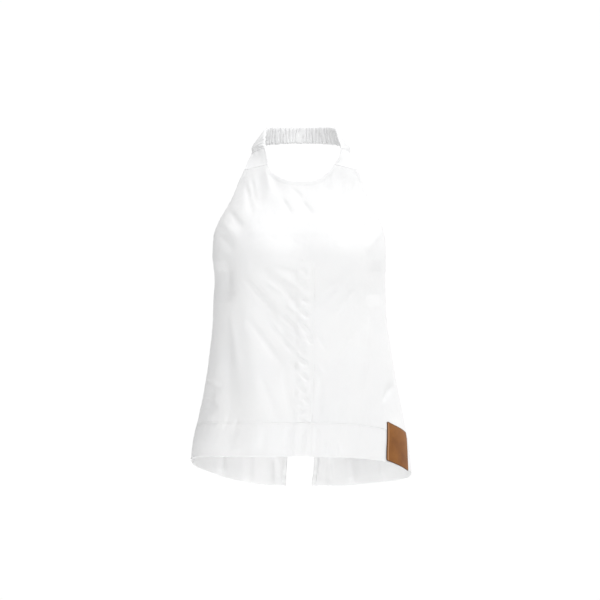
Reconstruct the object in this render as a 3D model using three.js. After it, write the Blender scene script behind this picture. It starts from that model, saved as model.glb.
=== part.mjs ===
// Halter neck top in crisp cotton, in its hollow worn form.
// Millimetres, +Z up. The front faces -Y and the wearer's left is +X.
// The origin is the nape: the inner face of the neckband at the centre back, at mid height.
import * as THREE from 'three';

// Cloth
const PANEL_WALL = 1.2;
const TAB_WALL = 1.6;
const BAND_WALL = 2.6;
const FACING_WALL = 1.0;
const LEATHER_WALL = 1.8;
const SEAM_GAP = 0.3;
const LAID_GAP = 0.9; // from a panel to what lies on it, over the flats between its points

// Cut
const HEM_DEPTH = 57;
const UNDERARM_Z = -200;
const SLIT_TOP_Z = -401;
const SLIT_FACING = 7;
const PLACKET_TOP_Z = -228;
const PLACKET_WIDTH = 32;
const PUCKER_PITCH = 27;
const PUCKER_DEPTH = 1.1;
const PATCH_SIDE = 65.5;
const PATCH_X = 168;
const PATCH_Z = -547;
const PATCH_SLOPE = THREE.MathUtils.degToRad(20);
const PATCH_LEAN = THREE.MathUtils.degToRad(3.5);

// Strap ends on the front panel: the neck edge and the shoulder edge of each tab's lower seam
const STRAP_NECK = { x: 57, z: -61 };
const STRAP_SHOULDER = { x: 98.2, z: -69.8 };

// Ruched neckband
const GATHERS = 46;
const GATHER_DEPTH = 1.0;

// Grid counts: squares across and along each piece
const FRONT_HALF_COLUMNS = 18;
const FRONT_ROWS = 28;
const BACK_COLUMNS = 14;
const BACK_ROWS = 18;
const HEM_ROWS = 3;

const COTTON = { color: 0xf5f5f3, roughness: 0.85, metalness: 0 };
const LEATHER = { color: 0x9c5a30, roughness: 0.5, metalness: 0 };

// Horizontal sections of the worn top, a row for each height.
// right and left are the half-widths on the wearer's two sides, front, side and back are the
// places in Y of the centre front, the side seams and the centre back, square is the power of
// the section's oval (2 is an ellipse).
const SECTIONS = [
  { z: -40, right: 110, left: 109, front: -129, side: -85, back: 0, square: 2.5 },
  { z: -60, right: 110, left: 109, front: -131, side: -85, back: 4, square: 2.5 },
  { z: -81, right: 113, left: 111, front: -134, side: -85, back: 8, square: 2.5 },
  { z: -102, right: 118, left: 116, front: -139, side: -85, back: 12, square: 2.45 },
  { z: -123, right: 126, left: 123, front: -148, side: -85, back: 16, square: 2.4 },
  { z: -143, right: 136, left: 132, front: -158, side: -85, back: 18, square: 2.35 },
  { z: -164, right: 146, left: 141, front: -170, side: -85, back: 19, square: 2.3 },
  { z: -185, right: 152, left: 146, front: -181, side: -85, back: 20, square: 2.3 },
  { z: -220, right: 154, left: 147.5, front: -192, side: -85, back: 20, square: 2.25 },
  { z: -258, right: 150.5, left: 147, front: -193, side: -85, back: 18, square: 2.2 },
  { z: -300, right: 152.5, left: 147.5, front: -190, side: -85, back: 17, square: 2.15 },
  { z: -350, right: 155, left: 152, front: -190, side: -85, back: 19, square: 2.1 },
  { z: -411, right: 162, left: 162, front: -195, side: -84, back: 26, square: 2.1 },
  { z: -458, right: 170, left: 170, front: -200, side: -83, back: 33, square: 2.1 },
  { z: -505, right: 180, left: 180, front: -206, side: -82, back: 41, square: 2.1 },
  { z: -542, right: 188.5, left: 187, front: -211, side: -82, back: 48, square: 2.1 },
  { z: -598, right: 194.5, left: 193, front: -216, side: -82, back: 57, square: 2.1 },
  { z: -650, right: 199, left: 198, front: -220, side: -82, back: 63, square: 2.1 },
];

// Height of the hem round the top. turn is 0 at the centre front, 1 at a side seam and 2 at
// the centre back. It hangs lower behind, and lower on the wearer's left side.
const HEM = [
  { turn: 0, right: -559, left: -559 },
  { turn: 0.35, right: -560, left: -562.5 },
  { turn: 0.55, right: -561.5, left: -568.5 },
  { turn: 0.75, right: -564, left: -582 },
  { turn: 0.88, right: -569.5, left: -591 },
  { turn: 1, right: -577, left: -599 },
  { turn: 1.2, right: -592, left: -612 },
  { turn: 1.4, right: -606, left: -620.5 },
  { turn: 1.6, right: -621, left: -628 },
  { turn: 1.8, right: -630, left: -632.5 },
  { turn: 2, right: -633.5, left: -633.5 },
];

// Open slit at the centre back: how far its edges stand from the centre line
const SLIT = [
  { z: SLIT_TOP_Z, right: SEAM_GAP / 2, left: SEAM_GAP / 2 },
  { z: -450, right: 8, left: 8.5 },
  { z: -500, right: 16.5, left: 17.5 },
  { z: -545, right: 22.5, left: 23.5 },
  { z: -581, right: 24.8, left: 24.3 },
  { z: -633, right: 28, left: 19.5 },
];

// Front neckline, from the centre out to the strap
const NECKLINE = [
  { x: 0, right: -90, left: -90 },
  { x: 12, right: -89.7, left: -90.3 },
  { x: 24, right: -87.8, left: -89 },
  { x: 33, right: -84.5, left: -85.2 },
  { x: 41, right: -80.3, left: -79 },
  { x: 49, right: -75.2, left: -71.5 },
  { x: 54, right: -69.5, left: -65 },
  { x: STRAP_NECK.x, right: STRAP_NECK.z, left: STRAP_NECK.z },
];

// Armhole edge of the front, from the strap down to the underarm: x as a share of the half-width
const ARMHOLE = [
  { z: STRAP_SHOULDER.z, share: 0.889 },
  { z: -81, share: 0.92 },
  { z: -91, share: 0.945 },
  { z: -112, share: 0.958 },
  { z: -133, share: 0.972 },
  { z: -154, share: 0.984 },
  { z: -175, share: 0.992 },
  { z: -188, share: 0.9965 },
  { z: UNDERARM_Z, share: 1 },
];

// Strap and neckband on the wearer's right: the neck edge (n) and the shoulder edge (s) of the
// strip, from the middle of the tab round to the nape. The left one is its mirror image but for
// leftNx, because the top hangs a little to that side.
const STRAP = [
  { nx: -58.5, leftNx: 67, ny: -121.5, nz: -46, sx: -92.5, sy: -94.5, sz: -53.5 },
  { nx: -61.5, leftNx: 69.5, ny: -111, nz: -31, sx: -86.5, sy: -79, sz: -38.5 },
  { nx: -62, leftNx: 65.5, ny: -89, nz: -17, sx: -86, sy: -62, sz: -31 },
  { nx: -61.5, leftNx: 62, ny: -58, nz: 1, sx: -84.5, sy: -48, sz: -27 },
  { nx: -57.5, leftNx: 58, ny: -30, nz: 12, sx: -64, sy: -22, sz: -20.5 },
  { nx: -35, leftNx: 35, ny: -8, nz: 14.6, sx: -37.5, sy: -3.5, sz: -16.5 },
];
const NAPE_HALF_HEIGHT = 15;
const SEAM_A = 2; // the strip's station where the tab ends and the ruched band starts

// Full places on the front and the back, as a soft bulge over an oval
const FULLNESS = [
  { back: false, x: -70, z: -218, across: 46, along: 52, out: 9 },
  { back: false, x: 68, z: -218, across: 46, along: 52, out: 9 },
  { back: true, x: -72, z: -225, across: 50, along: 60, out: 4 },
  { back: true, x: 72, z: -225, across: 50, along: 60, out: 4 },
];

// Main folds. Each runs from (x, z) to (endX, endZ), is wide at its start and endWidth at its
// end, and stands out (plus) or sinks in (minus).
const FOLDS = [
  { back: false, x: -131, z: -228, endX: -133, endZ: -300, wide: 13, endWidth: 17, out: -6.5 },
  { back: false, x: -72, z: -68, endX: -71, endZ: -140, wide: 7, endWidth: 13, out: -2.6 },
  { back: false, x: -56, z: -74, endX: -32, endZ: -112, wide: 8, endWidth: 12, out: -2 },
  { back: false, x: -74, z: -238, endX: -6, endZ: -300, wide: 12, endWidth: 17, out: -4 },
  { back: false, x: -78, z: -292, endX: -8, endZ: -376, wide: 14, endWidth: 18, out: -4 },
  { back: false, x: -97, z: -310, endX: -46, endZ: -600, wide: 20, endWidth: 36, out: 6 },
  { back: false, x: -128, z: -370, endX: -112, endZ: -600, wide: 12, endWidth: 26, out: -5 },
  { back: false, x: -154, z: -440, endX: -163, endZ: -500, wide: 8, endWidth: 11, out: -3.5 },
  { back: false, x: 126, z: -226, endX: 127, endZ: -306, wide: 14, endWidth: 17, out: -5.5 },
  { back: false, x: 70, z: -70, endX: 66, endZ: -136, wide: 7, endWidth: 13, out: -2.4 },
  { back: false, x: 80, z: -250, endX: 18, endZ: -318, wide: 12, endWidth: 18, out: -3.2 },
  { back: false, x: 92, z: -330, endX: 64, endZ: -600, wide: 20, endWidth: 38, out: 5 },
  { back: false, x: 118, z: -380, endX: 122, endZ: -600, wide: 14, endWidth: 24, out: -4.5 },
  { back: false, x: 152, z: -430, endX: 166, endZ: -520, wide: 10, endWidth: 14, out: -3 },
  { back: true, x: -92, z: -300, endX: -120, endZ: -650, wide: 20, endWidth: 30, out: 7 },
  { back: true, x: -48, z: -330, endX: -66, endZ: -650, wide: 16, endWidth: 24, out: -6 },
  { back: true, x: 90, z: -310, endX: 122, endZ: -650, wide: 20, endWidth: 30, out: 7 },
  { back: true, x: 50, z: -340, endX: 70, endZ: -650, wide: 16, endWidth: 24, out: -5 },
  { back: true, x: -132, z: -236, endX: -84, endZ: -300, wide: 12, endWidth: 18, out: -3.5 },
  { back: true, x: 128, z: -240, endX: 84, endZ: -306, wide: 12, endWidth: 18, out: -3.5 },
  { back: true, x: -152, z: -420, endX: -166, endZ: -560, wide: 12, endWidth: 16, out: -4 },
  { back: true, x: 150, z: -410, endX: 166, endZ: -560, wide: 12, endWidth: 16, out: -4 },
];

const QUARTER_STEPS = 60;
const PROBE = 0.5; // step in mm for slopes of the surface
const PROBE_TURN = 0.002; // the same step, as a part of a quarter turn
const LEFT = 1;
const RIGHT = -1;

const lerp = THREE.MathUtils.lerp;
const clamp = THREE.MathUtils.clamp;

// Smooth value of a table's column, with slopes that never overshoot
function readTable(rows, key, column, at) {
  const rising = rows[rows.length - 1][key] > rows[0][key];
  const sign = rising ? 1 : -1;
  const place = clamp(at * sign, rows[0][key] * sign, rows[rows.length - 1][key] * sign);
  let row = 0;
  while (row < rows.length - 2 && rows[row + 1][key] * sign < place) row += 1;
  const rise = (i) => {
    const low = rows[clamp(i, 0, rows.length - 2)];
    const high = rows[clamp(i, 0, rows.length - 2) + 1];
    return (high[column] - low[column]) / (high[key] - low[key]);
  };
  const slopeAt = (i) => {
    const before = rise(i - 1);
    const after = rise(i);
    if (i === 0 || i === rows.length - 1) return i === 0 ? after : before;
    return before * after <= 0 ? 0 : (2 * before * after) / (before + after);
  };
  const span = rows[row + 1][key] - rows[row][key];
  const t = (place * sign - rows[row][key]) / span;
  const a = rows[row][column];
  const b = rows[row + 1][column];
  const slopeA = slopeAt(row) * span;
  const slopeB = slopeAt(row + 1) * span;
  const square = t * t;
  const cube = square * t;
  return (2 * cube - 3 * square + 1) * a + (cube - 2 * square + t) * slopeA
    + (3 * square - 2 * cube) * b + (cube - square) * slopeB;
}

// One quarter of the section at height z: points from the centre line to the side seam, with
// the length run up to each
const quarters = new Map();
function quarter(z, side, back) {
  const key = `${z.toFixed(4)} ${side} ${back}`;
  if (quarters.has(key)) return quarters.get(key);
  const halfWidth = readTable(SECTIONS, 'z', side === LEFT ? 'left' : 'right', z);
  const sideY = readTable(SECTIONS, 'z', 'side', z);
  const depth = readTable(SECTIONS, 'z', back ? 'back' : 'front', z) - sideY;
  const power = 2 / readTable(SECTIONS, 'z', 'square', z);
  const points = [];
  let run = 0;
  for (let i = 0; i <= QUARTER_STEPS; i += 1) {
    const angle = (i / QUARTER_STEPS) * Math.PI / 2;
    const x = side * halfWidth * Math.sin(angle) ** power;
    const y = sideY + depth * Math.max(Math.cos(angle), 0) ** power;
    if (i > 0) run += Math.hypot(x - points[i - 1].x, y - points[i - 1].y);
    points.push({ x, y, run });
  }
  quarters.set(key, points);
  return points;
}

// Point of the middle of the cloth before its folds. turn is 0 at the centre front, 1 at the
// left side seam, -1 at the right one and 2 or -2 at the centre back.
function smoothTorso(turn, z) {
  let around = turn;
  if (around > 2) around -= 4;
  if (around < -2) around += 4;
  const side = around < 0 ? RIGHT : LEFT;
  const back = Math.abs(around) > 1;
  const share = back ? 2 - Math.abs(around) : Math.abs(around);
  const points = quarter(z, side, back);
  const run = share * points[QUARTER_STEPS].run;
  let i = 1;
  while (i < QUARTER_STEPS && points[i].run < run) i += 1;
  const t = (run - points[i - 1].run) / (points[i].run - points[i - 1].run);
  return new THREE.Vector3(
    lerp(points[i - 1].x, points[i].x, t),
    lerp(points[i - 1].y, points[i].y, t),
    z,
  );
}

// How far the cloth stands out of the smooth form at a place
function drape(x, z, back) {
  let out = 0;
  for (const bulge of FULLNESS) {
    if (bulge.back !== back) continue;
    const across = (x - bulge.x) / bulge.across;
    const along = (z - bulge.z) / bulge.along;
    out += bulge.out * Math.exp(-(across * across + along * along));
  }
  for (const fold of FOLDS) {
    if (fold.back !== back) continue;
    const runX = fold.endX - fold.x;
    const runZ = fold.endZ - fold.z;
    const length = Math.hypot(runX, runZ);
    const along = ((x - fold.x) * runX + (z - fold.z) * runZ) / (length * length);
    const t = clamp(along, 0, 1);
    const beyond = (along - t) * length;
    const across = ((x - fold.x) * runZ - (z - fold.z) * runX) / length;
    const width = lerp(fold.wide, fold.endWidth, t);
    const rise = Math.min(1, 0.25 + 3 * t) * Math.min(1, 0.25 + 3 * (1 - t));
    out += fold.out * rise * Math.exp(-((across / width) ** 2) - (beyond / width) ** 2);
  }
  return out;
}

function outwards(turn, z) {
  const across = smoothTorso(turn + PROBE_TURN, z).sub(smoothTorso(turn - PROBE_TURN, z));
  const up = smoothTorso(turn, z + PROBE).sub(smoothTorso(turn, z - PROBE));
  return across.cross(up).normalize();
}

// Middle of the draped cloth and the way out of it
const SIDE_BLEND = 0.12; // part of a quarter turn over which folds fade at the side seams
function torso(turn, z) {
  const point = smoothTorso(turn, z);
  const normal = outwards(turn, z);
  const fromSide = Math.abs(Math.abs(turn) - 1);
  const fade = THREE.MathUtils.smoothstep(fromSide, 0, SIDE_BLEND);
  const back = Math.abs(turn) > 1;
  point.addScaledVector(normal, fade * drape(point.x, z, back));
  return { point, normal };
}

// Turn at which the front of the section at height z reaches x
function turnAtX(x, z) {
  let low = 0;
  let high = 1;
  const side = x < 0 ? RIGHT : LEFT;
  for (let i = 0; i < 40; i += 1) {
    const middle = (low + high) / 2;
    if (Math.abs(smoothTorso(side * middle, z).x) < Math.abs(x)) low = middle;
    else high = middle;
  }
  return side * (low + high) / 2;
}

// Length along the section from the centre line to the side seam
function quarterLength(z, side, back) {
  return quarter(z, side, back)[QUARTER_STEPS].run;
}

const sideName = (turn) => (turn < 0 ? 'right' : 'left');
const hemZ = (turn) => readTable(HEM, 'turn', sideName(turn), Math.abs(turn));
const hemSeamZ = (turn) => hemZ(turn) + HEM_DEPTH;

// Closed wall of cloth: at(column, row) gives the middle of the cloth and the way out of it,
// outer and inner how far its two faces lie out from that middle
function clothWall(name, columns, rows, at, outer, inner, finish = COTTON) {
  const positions = [];
  const across = columns + 1;
  const layer = across * (rows + 1);
  for (const face of [outer, inner]) {
    for (let row = 0; row <= rows; row += 1) {
      for (let column = 0; column <= columns; column += 1) {
        const { point, normal } = at(column, row);
        const lift = typeof face === 'function' ? face(column, row) : face;
        positions.push(...point.clone().addScaledVector(normal, lift).toArray());
      }
    }
  }
  const index = [];
  const square = (a, b, c, d) => index.push(a, b, c, a, c, d);
  for (let row = 0; row < rows; row += 1) {
    for (let column = 0; column < columns; column += 1) {
      const a = row * across + column;
      square(a, a + 1, a + 1 + across, a + across);
      square(layer + a, layer + a + across, layer + a + 1 + across, layer + a + 1);
    }
  }
  const top = rows * across;
  for (let column = 0; column < columns; column += 1) {
    square(column + 1, column, layer + column, layer + column + 1);
    square(top + column, top + column + 1, layer + top + column + 1, layer + top + column);
  }
  for (let row = 0; row < rows; row += 1) {
    const start = row * across;
    const end = start + columns;
    square(start, start + across, layer + start + across, layer + start);
    square(end + across, end, layer + end, layer + end + across);
  }
  const geometry = new THREE.BufferGeometry();
  geometry.setAttribute('position', new THREE.Float32BufferAttribute(positions, 3));
  geometry.setIndex(index);
  geometry.computeVertexNormals();
  const mesh = new THREE.Mesh(geometry, new THREE.MeshStandardMaterial(finish));
  mesh.name = name;
  return mesh;
}

// Front panel: one piece from side seam to side seam. Its patch is bounded by the hem seam
// below, the neckline and strap ends above, and the side seams and armholes.
const NECKLINE_SHARE = 0.68; // part of the half top edge that the neckline takes
const SIDE_SEAM_SHARE = 0.71; // part of the side edge below the underarm

function frontTopEdge(side, share) {
  if (share <= NECKLINE_SHARE) {
    const x = STRAP_NECK.x * share / NECKLINE_SHARE;
    const z = readTable(NECKLINE, 'x', side === LEFT ? 'left' : 'right', x);
    return { turn: Math.abs(turnAtX(side * x, z)), z };
  }
  const t = (share - NECKLINE_SHARE) / (1 - NECKLINE_SHARE);
  const z = lerp(STRAP_NECK.z, STRAP_SHOULDER.z, t);
  const halfWidth = readTable(SECTIONS, 'z', side === LEFT ? 'left' : 'right', z);
  const rightHalfWidth = readTable(SECTIONS, 'z', 'right', z);
  const x = lerp(STRAP_NECK.x, STRAP_SHOULDER.x * halfWidth / rightHalfWidth, t);
  return { turn: Math.abs(turnAtX(side * x, z)), z };
}

function frontSideEdge(side, share) {
  if (share <= SIDE_SEAM_SHARE) {
    const bottom = hemSeamZ(side) + SEAM_GAP / 2;
    return { turn: 1, z: lerp(bottom, UNDERARM_Z, share / SIDE_SEAM_SHARE) };
  }
  const t = (share - SIDE_SEAM_SHARE) / (1 - SIDE_SEAM_SHARE);
  const z = lerp(UNDERARM_Z, STRAP_SHOULDER.z, t);
  const halfWidth = readTable(SECTIONS, 'z', side === LEFT ? 'left' : 'right', z);
  const x = halfWidth * Math.min(readTable(ARMHOLE, 'z', 'share', z), 1);
  const turn = t === 0 ? 1 : Math.abs(turnAtX(side * x, z));
  return { turn, z };
}

function frontPlace(side, u, v) {
  const corner = frontSideEdge(side, 0);
  const topCorner = frontTopEdge(side, 1);
  const bottomZ = hemSeamZ(side * u) + SEAM_GAP / 2;
  const centreBottomZ = hemSeamZ(0) + SEAM_GAP / 2;
  const top = frontTopEdge(side, u);
  const edge = frontSideEdge(side, v);
  const centreZ = lerp(centreBottomZ, NECKLINE[0].right, v);
  const turn = (1 - v) * u + v * top.turn + u * edge.turn
    - ((1 - v) * u + v * u * topCorner.turn);
  const z = (1 - v) * bottomZ + v * top.z + (1 - u) * centreZ + u * edge.z
    - ((1 - u) * (1 - v) * centreBottomZ + (1 - u) * v * NECKLINE[0].right
    + u * (1 - v) * corner.z + u * v * topCorner.z);
  return { turn: side * turn, z };
}

const sideGapTurn = (z, side, back) => SEAM_GAP / 2 / quarterLength(z, side, back);

function frontPanel() {
  const columns = 2 * FRONT_HALF_COLUMNS;
  const at = (column, row) => {
    const across = (column - FRONT_HALF_COLUMNS) / FRONT_HALF_COLUMNS;
    const side = across < 0 ? RIGHT : LEFT;
    const place = frontPlace(side, Math.abs(across), row / FRONT_ROWS);
    const limit = 1 - sideGapTurn(place.z, side, false);
    return torso(clamp(place.turn, -limit, limit), place.z);
  };
  return clothWall('front', columns, FRONT_ROWS, at, PANEL_WALL / 2, -PANEL_WALL / 2);
}

// Half of the front's deep hem, from the centre front to the side seam
function frontHem(side) {
  const columns = FRONT_HALF_COLUMNS;
  const at = (column, row) => {
    const share = side === LEFT ? column / columns : 1 - column / columns;
    const bottom = hemZ(side * share);
    const z = lerp(bottom, bottom + HEM_DEPTH - SEAM_GAP / 2, row / HEM_ROWS);
    const gap = sideGapTurn(z, side, false);
    return torso(side * clamp(share, gap, 1 - gap), z);
  };
  const name = `front_hem_${sideName(side)}`;
  return clothWall(name, columns, HEM_ROWS, at, PANEL_WALL / 2, -PANEL_WALL / 2);
}

// Back panels meet at the centre back seam down to the slit, which opens towards the hem
function slitEdgeX(side, z) {
  return side * readTable(SLIT, 'z', side === LEFT ? 'left' : 'right', Math.min(z, SLIT_TOP_Z));
}

function backTurn(side, share, z) {
  const length = quarterLength(z, side, true);
  const edge = 2 - side * slitEdgeX(side, z) / length;
  return side * lerp(1 + sideGapTurn(z, side, true), edge, share);
}

const backTopZ = (share) => UNDERARM_Z - 4 * Math.sin(share * Math.PI / 2);

function backPiece(name, side, columns, rows, bottomAt, topAt) {
  const at = (column, row) => {
    const share = side === LEFT ? column / columns : 1 - column / columns;
    const turn = side * (1 + share);
    const z = lerp(bottomAt(turn, share), topAt(turn, share), row / rows);
    return torso(backTurn(side, share, z), z);
  };
  return clothWall(name, columns, rows, at, PANEL_WALL / 2, -PANEL_WALL / 2);
}

function backPanel(side) {
  const bottomAt = (turn) => hemSeamZ(turn) + SEAM_GAP / 2;
  const topAt = (turn, share) => backTopZ(share);
  return backPiece(`back_${sideName(side)}`, side, BACK_COLUMNS, BACK_ROWS, bottomAt, topAt);
}

function backHem(side) {
  const topAt = (turn) => hemSeamZ(turn) - SEAM_GAP / 2;
  return backPiece(`back_hem_${sideName(side)}`, side, BACK_COLUMNS, HEM_ROWS, hemZ, topAt);
}

// Narrow edge turned to the inside along the slit
const SLIT_ROWS = 14;
function slitHem(side) {
  const bottom = hemZ(side * 2) + 1;
  const top = SLIT_TOP_Z + 6;
  const at = (column, row) => {
    const z = lerp(bottom, top, row / SLIT_ROWS);
    const length = quarterLength(z, side, true);
    const inset = (side === LEFT ? 1 - column : column) * SLIT_FACING;
    const edge = side * slitEdgeX(side, z) + 0.4 + inset;
    return torso(side * (2 - edge / length), z);
  };
  const outer = -(PANEL_WALL / 2 + LAID_GAP);
  return clothWall(`slit_hem_${sideName(side)}`, 1, SLIT_ROWS, at, outer, outer - FACING_WALL);
}

// Placket: the strip stitched over the centre front, puckered along its length
const PLACKET_COLUMNS = 4;
const PLACKET_ROWS = 42;
function placketCentreX(z) {
  return lerp(6, 0, THREE.MathUtils.smoothstep(-z, 400, 560));
}

function pucker(z) {
  return -PUCKER_DEPTH / 2 * (1 - Math.cos((z - PLACKET_TOP_Z) * 2 * Math.PI / PUCKER_PITCH));
}

function placketStrip(name, rows, bottomAt, topAt, puckered) {
  const lift = PANEL_WALL / 2 + LAID_GAP;
  const placeOf = (column, row) => {
    const share = column / PLACKET_COLUMNS;
    const guess = hemSeamZ(0);
    const offset = (share - 0.5) * PLACKET_WIDTH;
    const bottomTurn = turnAtX(placketCentreX(guess) + offset, guess);
    const z = lerp(bottomAt(bottomTurn), topAt(bottomTurn), row / rows);
    return { turn: turnAtX(placketCentreX(z) + offset, z), z, share };
  };
  const at = (column, row) => {
    const place = placeOf(column, row);
    return torso(place.turn, place.z);
  };
  const outer = (column, row) => {
    const place = placeOf(column, row);
    const middle = Math.sin(place.share * Math.PI);
    return lift + PANEL_WALL + (puckered ? PUCKER_DEPTH + pucker(place.z) : 0) * middle;
  };
  return clothWall(name, PLACKET_COLUMNS, rows, at, outer, lift);
}

// Neckband and tabs: one strip from the right strap end round the nape to the left one
function strapEnds(side) {
  const neck = frontTopEdge(side, NECKLINE_SHARE);
  const shoulder = frontTopEdge(side, 1);
  return [neck, shoulder].map((end) => torso(side * end.turn, end.z).point);
}

function stripEdges() {
  const neck = [];
  const shoulder = [];
  const [rightNeck, rightShoulder] = strapEnds(RIGHT);
  const [leftNeck, leftShoulder] = strapEnds(LEFT);
  neck.push(rightNeck);
  shoulder.push(rightShoulder);
  for (const row of STRAP) {
    neck.push(new THREE.Vector3(row.nx, row.ny, row.nz));
    shoulder.push(new THREE.Vector3(row.sx, row.sy, row.sz));
  }
  neck.push(new THREE.Vector3(0, BAND_WALL / 2, NAPE_HALF_HEIGHT));
  shoulder.push(new THREE.Vector3(0, BAND_WALL / 2, -NAPE_HALF_HEIGHT));
  for (const row of [...STRAP].reverse()) {
    neck.push(new THREE.Vector3(row.leftNx, row.ny, row.nz));
    shoulder.push(new THREE.Vector3(-row.sx, row.sy, row.sz));
  }
  neck.push(leftNeck);
  shoulder.push(leftShoulder);
  return {
    neck: new THREE.CatmullRomCurve3(neck, false, 'centripetal'),
    shoulder: new THREE.CatmullRomCurve3(shoulder, false, 'centripetal'),
    stations: neck.length - 1,
  };
}

const strip = stripEdges();
const STRIP_STEP = 0.001;
const STRIP_CROWN = 1.6;

function stripPoint(t, across) {
  const neck = strip.neck.getPoint(t);
  const shoulder = strip.shoulder.getPoint(t);
  return neck.lerp(shoulder, across);
}

function stripAt(t, across) {
  const low = clamp(t - STRIP_STEP, 0, 1);
  const high = clamp(t + STRIP_STEP, 0, 1);
  const along = stripPoint(high, across).sub(stripPoint(low, across));
  const width = stripPoint(t, 1).sub(stripPoint(t, 0));
  const normal = along.cross(width).normalize();
  const point = stripPoint(t, across);
  const ends = Math.sin(Math.PI * clamp(t, 0, 1));
  point.addScaledVector(normal, STRIP_CROWN * ends * 4 * across * (1 - across));
  return { point, normal };
}

// Place on the strip for a length run along its middle
const STRIP_SAMPLES = 600;
const stripRuns = [0];
for (let i = 1; i <= STRIP_SAMPLES; i += 1) {
  const from = stripPoint((i - 1) / STRIP_SAMPLES, 0.5);
  stripRuns.push(stripRuns[i - 1] + from.distanceTo(stripPoint(i / STRIP_SAMPLES, 0.5)));
}
function stripPlace(run) {
  let i = 1;
  while (i < STRIP_SAMPLES && stripRuns[i] < run) i += 1;
  const t = (run - stripRuns[i - 1]) / (stripRuns[i] - stripRuns[i - 1]);
  return (i - 1 + t) / STRIP_SAMPLES;
}
const runAtStation = (station) => stripRuns[Math.round(station / strip.stations * STRIP_SAMPLES)];
const STRIP_LENGTH = stripRuns[STRIP_SAMPLES];
const BAND_START = runAtStation(SEAM_A);

const TAB_COLUMNS = 5;
const TAB_ROWS = 6;
function tab(side) {
  const at = (column, row) => {
    const run = lerp(SEAM_GAP, BAND_START - SEAM_GAP / 2, row / TAB_ROWS);
    const t = stripPlace(side === RIGHT ? run : STRIP_LENGTH - run);
    const across = side === RIGHT ? 1 - column / TAB_COLUMNS : column / TAB_COLUMNS;
    return stripAt(t, across);
  };
  const name = `tab_${sideName(side)}`;
  return clothWall(name, TAB_COLUMNS, TAB_ROWS, at, TAB_WALL / 2, -TAB_WALL / 2);
}

// Ruched band: folds run across it at an uneven pitch, and its edges are thinner
const STEPS_A_GATHER = 4;
const BAND_ACROSS = [0, 0.18, 0.82, 1];
function neckband() {
  const columns = GATHERS * STEPS_A_GATHER;
  const rows = BAND_ACROSS.length - 1;
  const start = BAND_START + SEAM_GAP / 2;
  const length = STRIP_LENGTH - 2 * start;
  const pitch = length / GATHERS;
  const fold = (column) => column / STEPS_A_GATHER;
  const wave = (column) => {
    const ends = Math.min(1, column / 2, (columns - column) / 2);
    const depth = 0.82 + 0.25 * Math.sin(2.7 * fold(column));
    return ends * depth * Math.cos(2 * Math.PI * (fold(column) + 0.125));
  };
  const at = (column, row) => {
    const ends = Math.min(1, column / 4, (columns - column) / 4);
    const uneven = 0.12 * Math.sin(1.9 * fold(column)) + 0.08 * Math.sin(3.1 * fold(column) + 1);
    const slant = 0.25 * Math.sin(0.55 * fold(column)) * (0.5 - BAND_ACROSS[row]);
    const run = start + pitch * (fold(column) + ends * (uneven + slant));
    return stripAt(stripPlace(run), BAND_ACROSS[row]);
  };
  const half = (row) => (row === 0 || row === rows ? 0.3 : 0.5) * BAND_WALL;
  const outer = (column, row) => half(row) + GATHER_DEPTH * wave(column);
  const inner = (column, row) => -half(row) + GATHER_DEPTH * wave(column);
  return clothWall('neckband', columns, rows, at, outer, inner);
}

// Leather patch on the front, just ahead of the left side seam and level with the hem
const PATCH_SQUARES = 7;
function leatherPatch() {
  const centreTurn = turnAtX(PATCH_X, PATCH_Z);
  const centreRun = centreTurn * quarterLength(PATCH_Z, LEFT, false);
  const at = (column, row) => {
    const across = (column / PATCH_SQUARES - 0.5) * PATCH_SIDE;
    const up = (row / PATCH_SQUARES - 0.5) * PATCH_SIDE;
    const run = centreRun + across * Math.cos(PATCH_SLOPE) + up * Math.sin(PATCH_LEAN);
    const z = PATCH_Z - across * Math.sin(PATCH_SLOPE) + up * Math.cos(PATCH_LEAN);
    return torso(run / quarterLength(z, LEFT, false), z);
  };
  const lift = PANEL_WALL / 2 + LAID_GAP;
  const squares = PATCH_SQUARES;
  return clothWall('leather_patch', squares, squares, at, lift + LEATHER_WALL, lift, LEATHER);
}

const group = new THREE.Group();
group.add(frontPanel());
group.add(placketStrip('placket', PLACKET_ROWS, (turn) => hemSeamZ(turn) + SEAM_GAP / 2,
  () => PLACKET_TOP_Z, true));
group.add(placketStrip('placket_hem', HEM_ROWS, hemZ, (turn) => hemSeamZ(turn) - SEAM_GAP / 2,
  false));
for (const side of [RIGHT, LEFT]) {
  group.add(frontHem(side));
  group.add(backPanel(side));
  group.add(backHem(side));
  group.add(slitHem(side));
  group.add(tab(side));
}
group.add(neckband());
group.add(leatherPatch());

export default group;
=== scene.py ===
# Halter neck top in crisp white cotton, hollow and in its worn shape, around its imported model.
# Tables are in millimetres, as a maker would measure them, and MM turns them into metres.
import math

import bmesh
import bpy
import numpy as np
from mathutils import Matrix, Vector, kdtree, noise


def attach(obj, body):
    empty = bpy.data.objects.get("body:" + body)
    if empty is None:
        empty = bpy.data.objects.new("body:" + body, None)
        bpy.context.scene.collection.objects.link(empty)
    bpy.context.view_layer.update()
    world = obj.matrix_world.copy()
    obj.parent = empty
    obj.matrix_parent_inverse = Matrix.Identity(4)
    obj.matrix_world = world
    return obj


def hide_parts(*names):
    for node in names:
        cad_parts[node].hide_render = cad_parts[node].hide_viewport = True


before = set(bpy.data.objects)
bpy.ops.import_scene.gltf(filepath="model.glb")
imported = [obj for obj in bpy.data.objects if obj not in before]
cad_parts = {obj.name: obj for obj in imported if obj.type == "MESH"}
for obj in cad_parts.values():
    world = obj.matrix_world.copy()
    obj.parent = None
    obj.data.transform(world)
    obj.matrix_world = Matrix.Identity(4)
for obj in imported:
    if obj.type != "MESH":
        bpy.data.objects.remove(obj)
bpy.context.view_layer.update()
MM = 0.001

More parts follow.
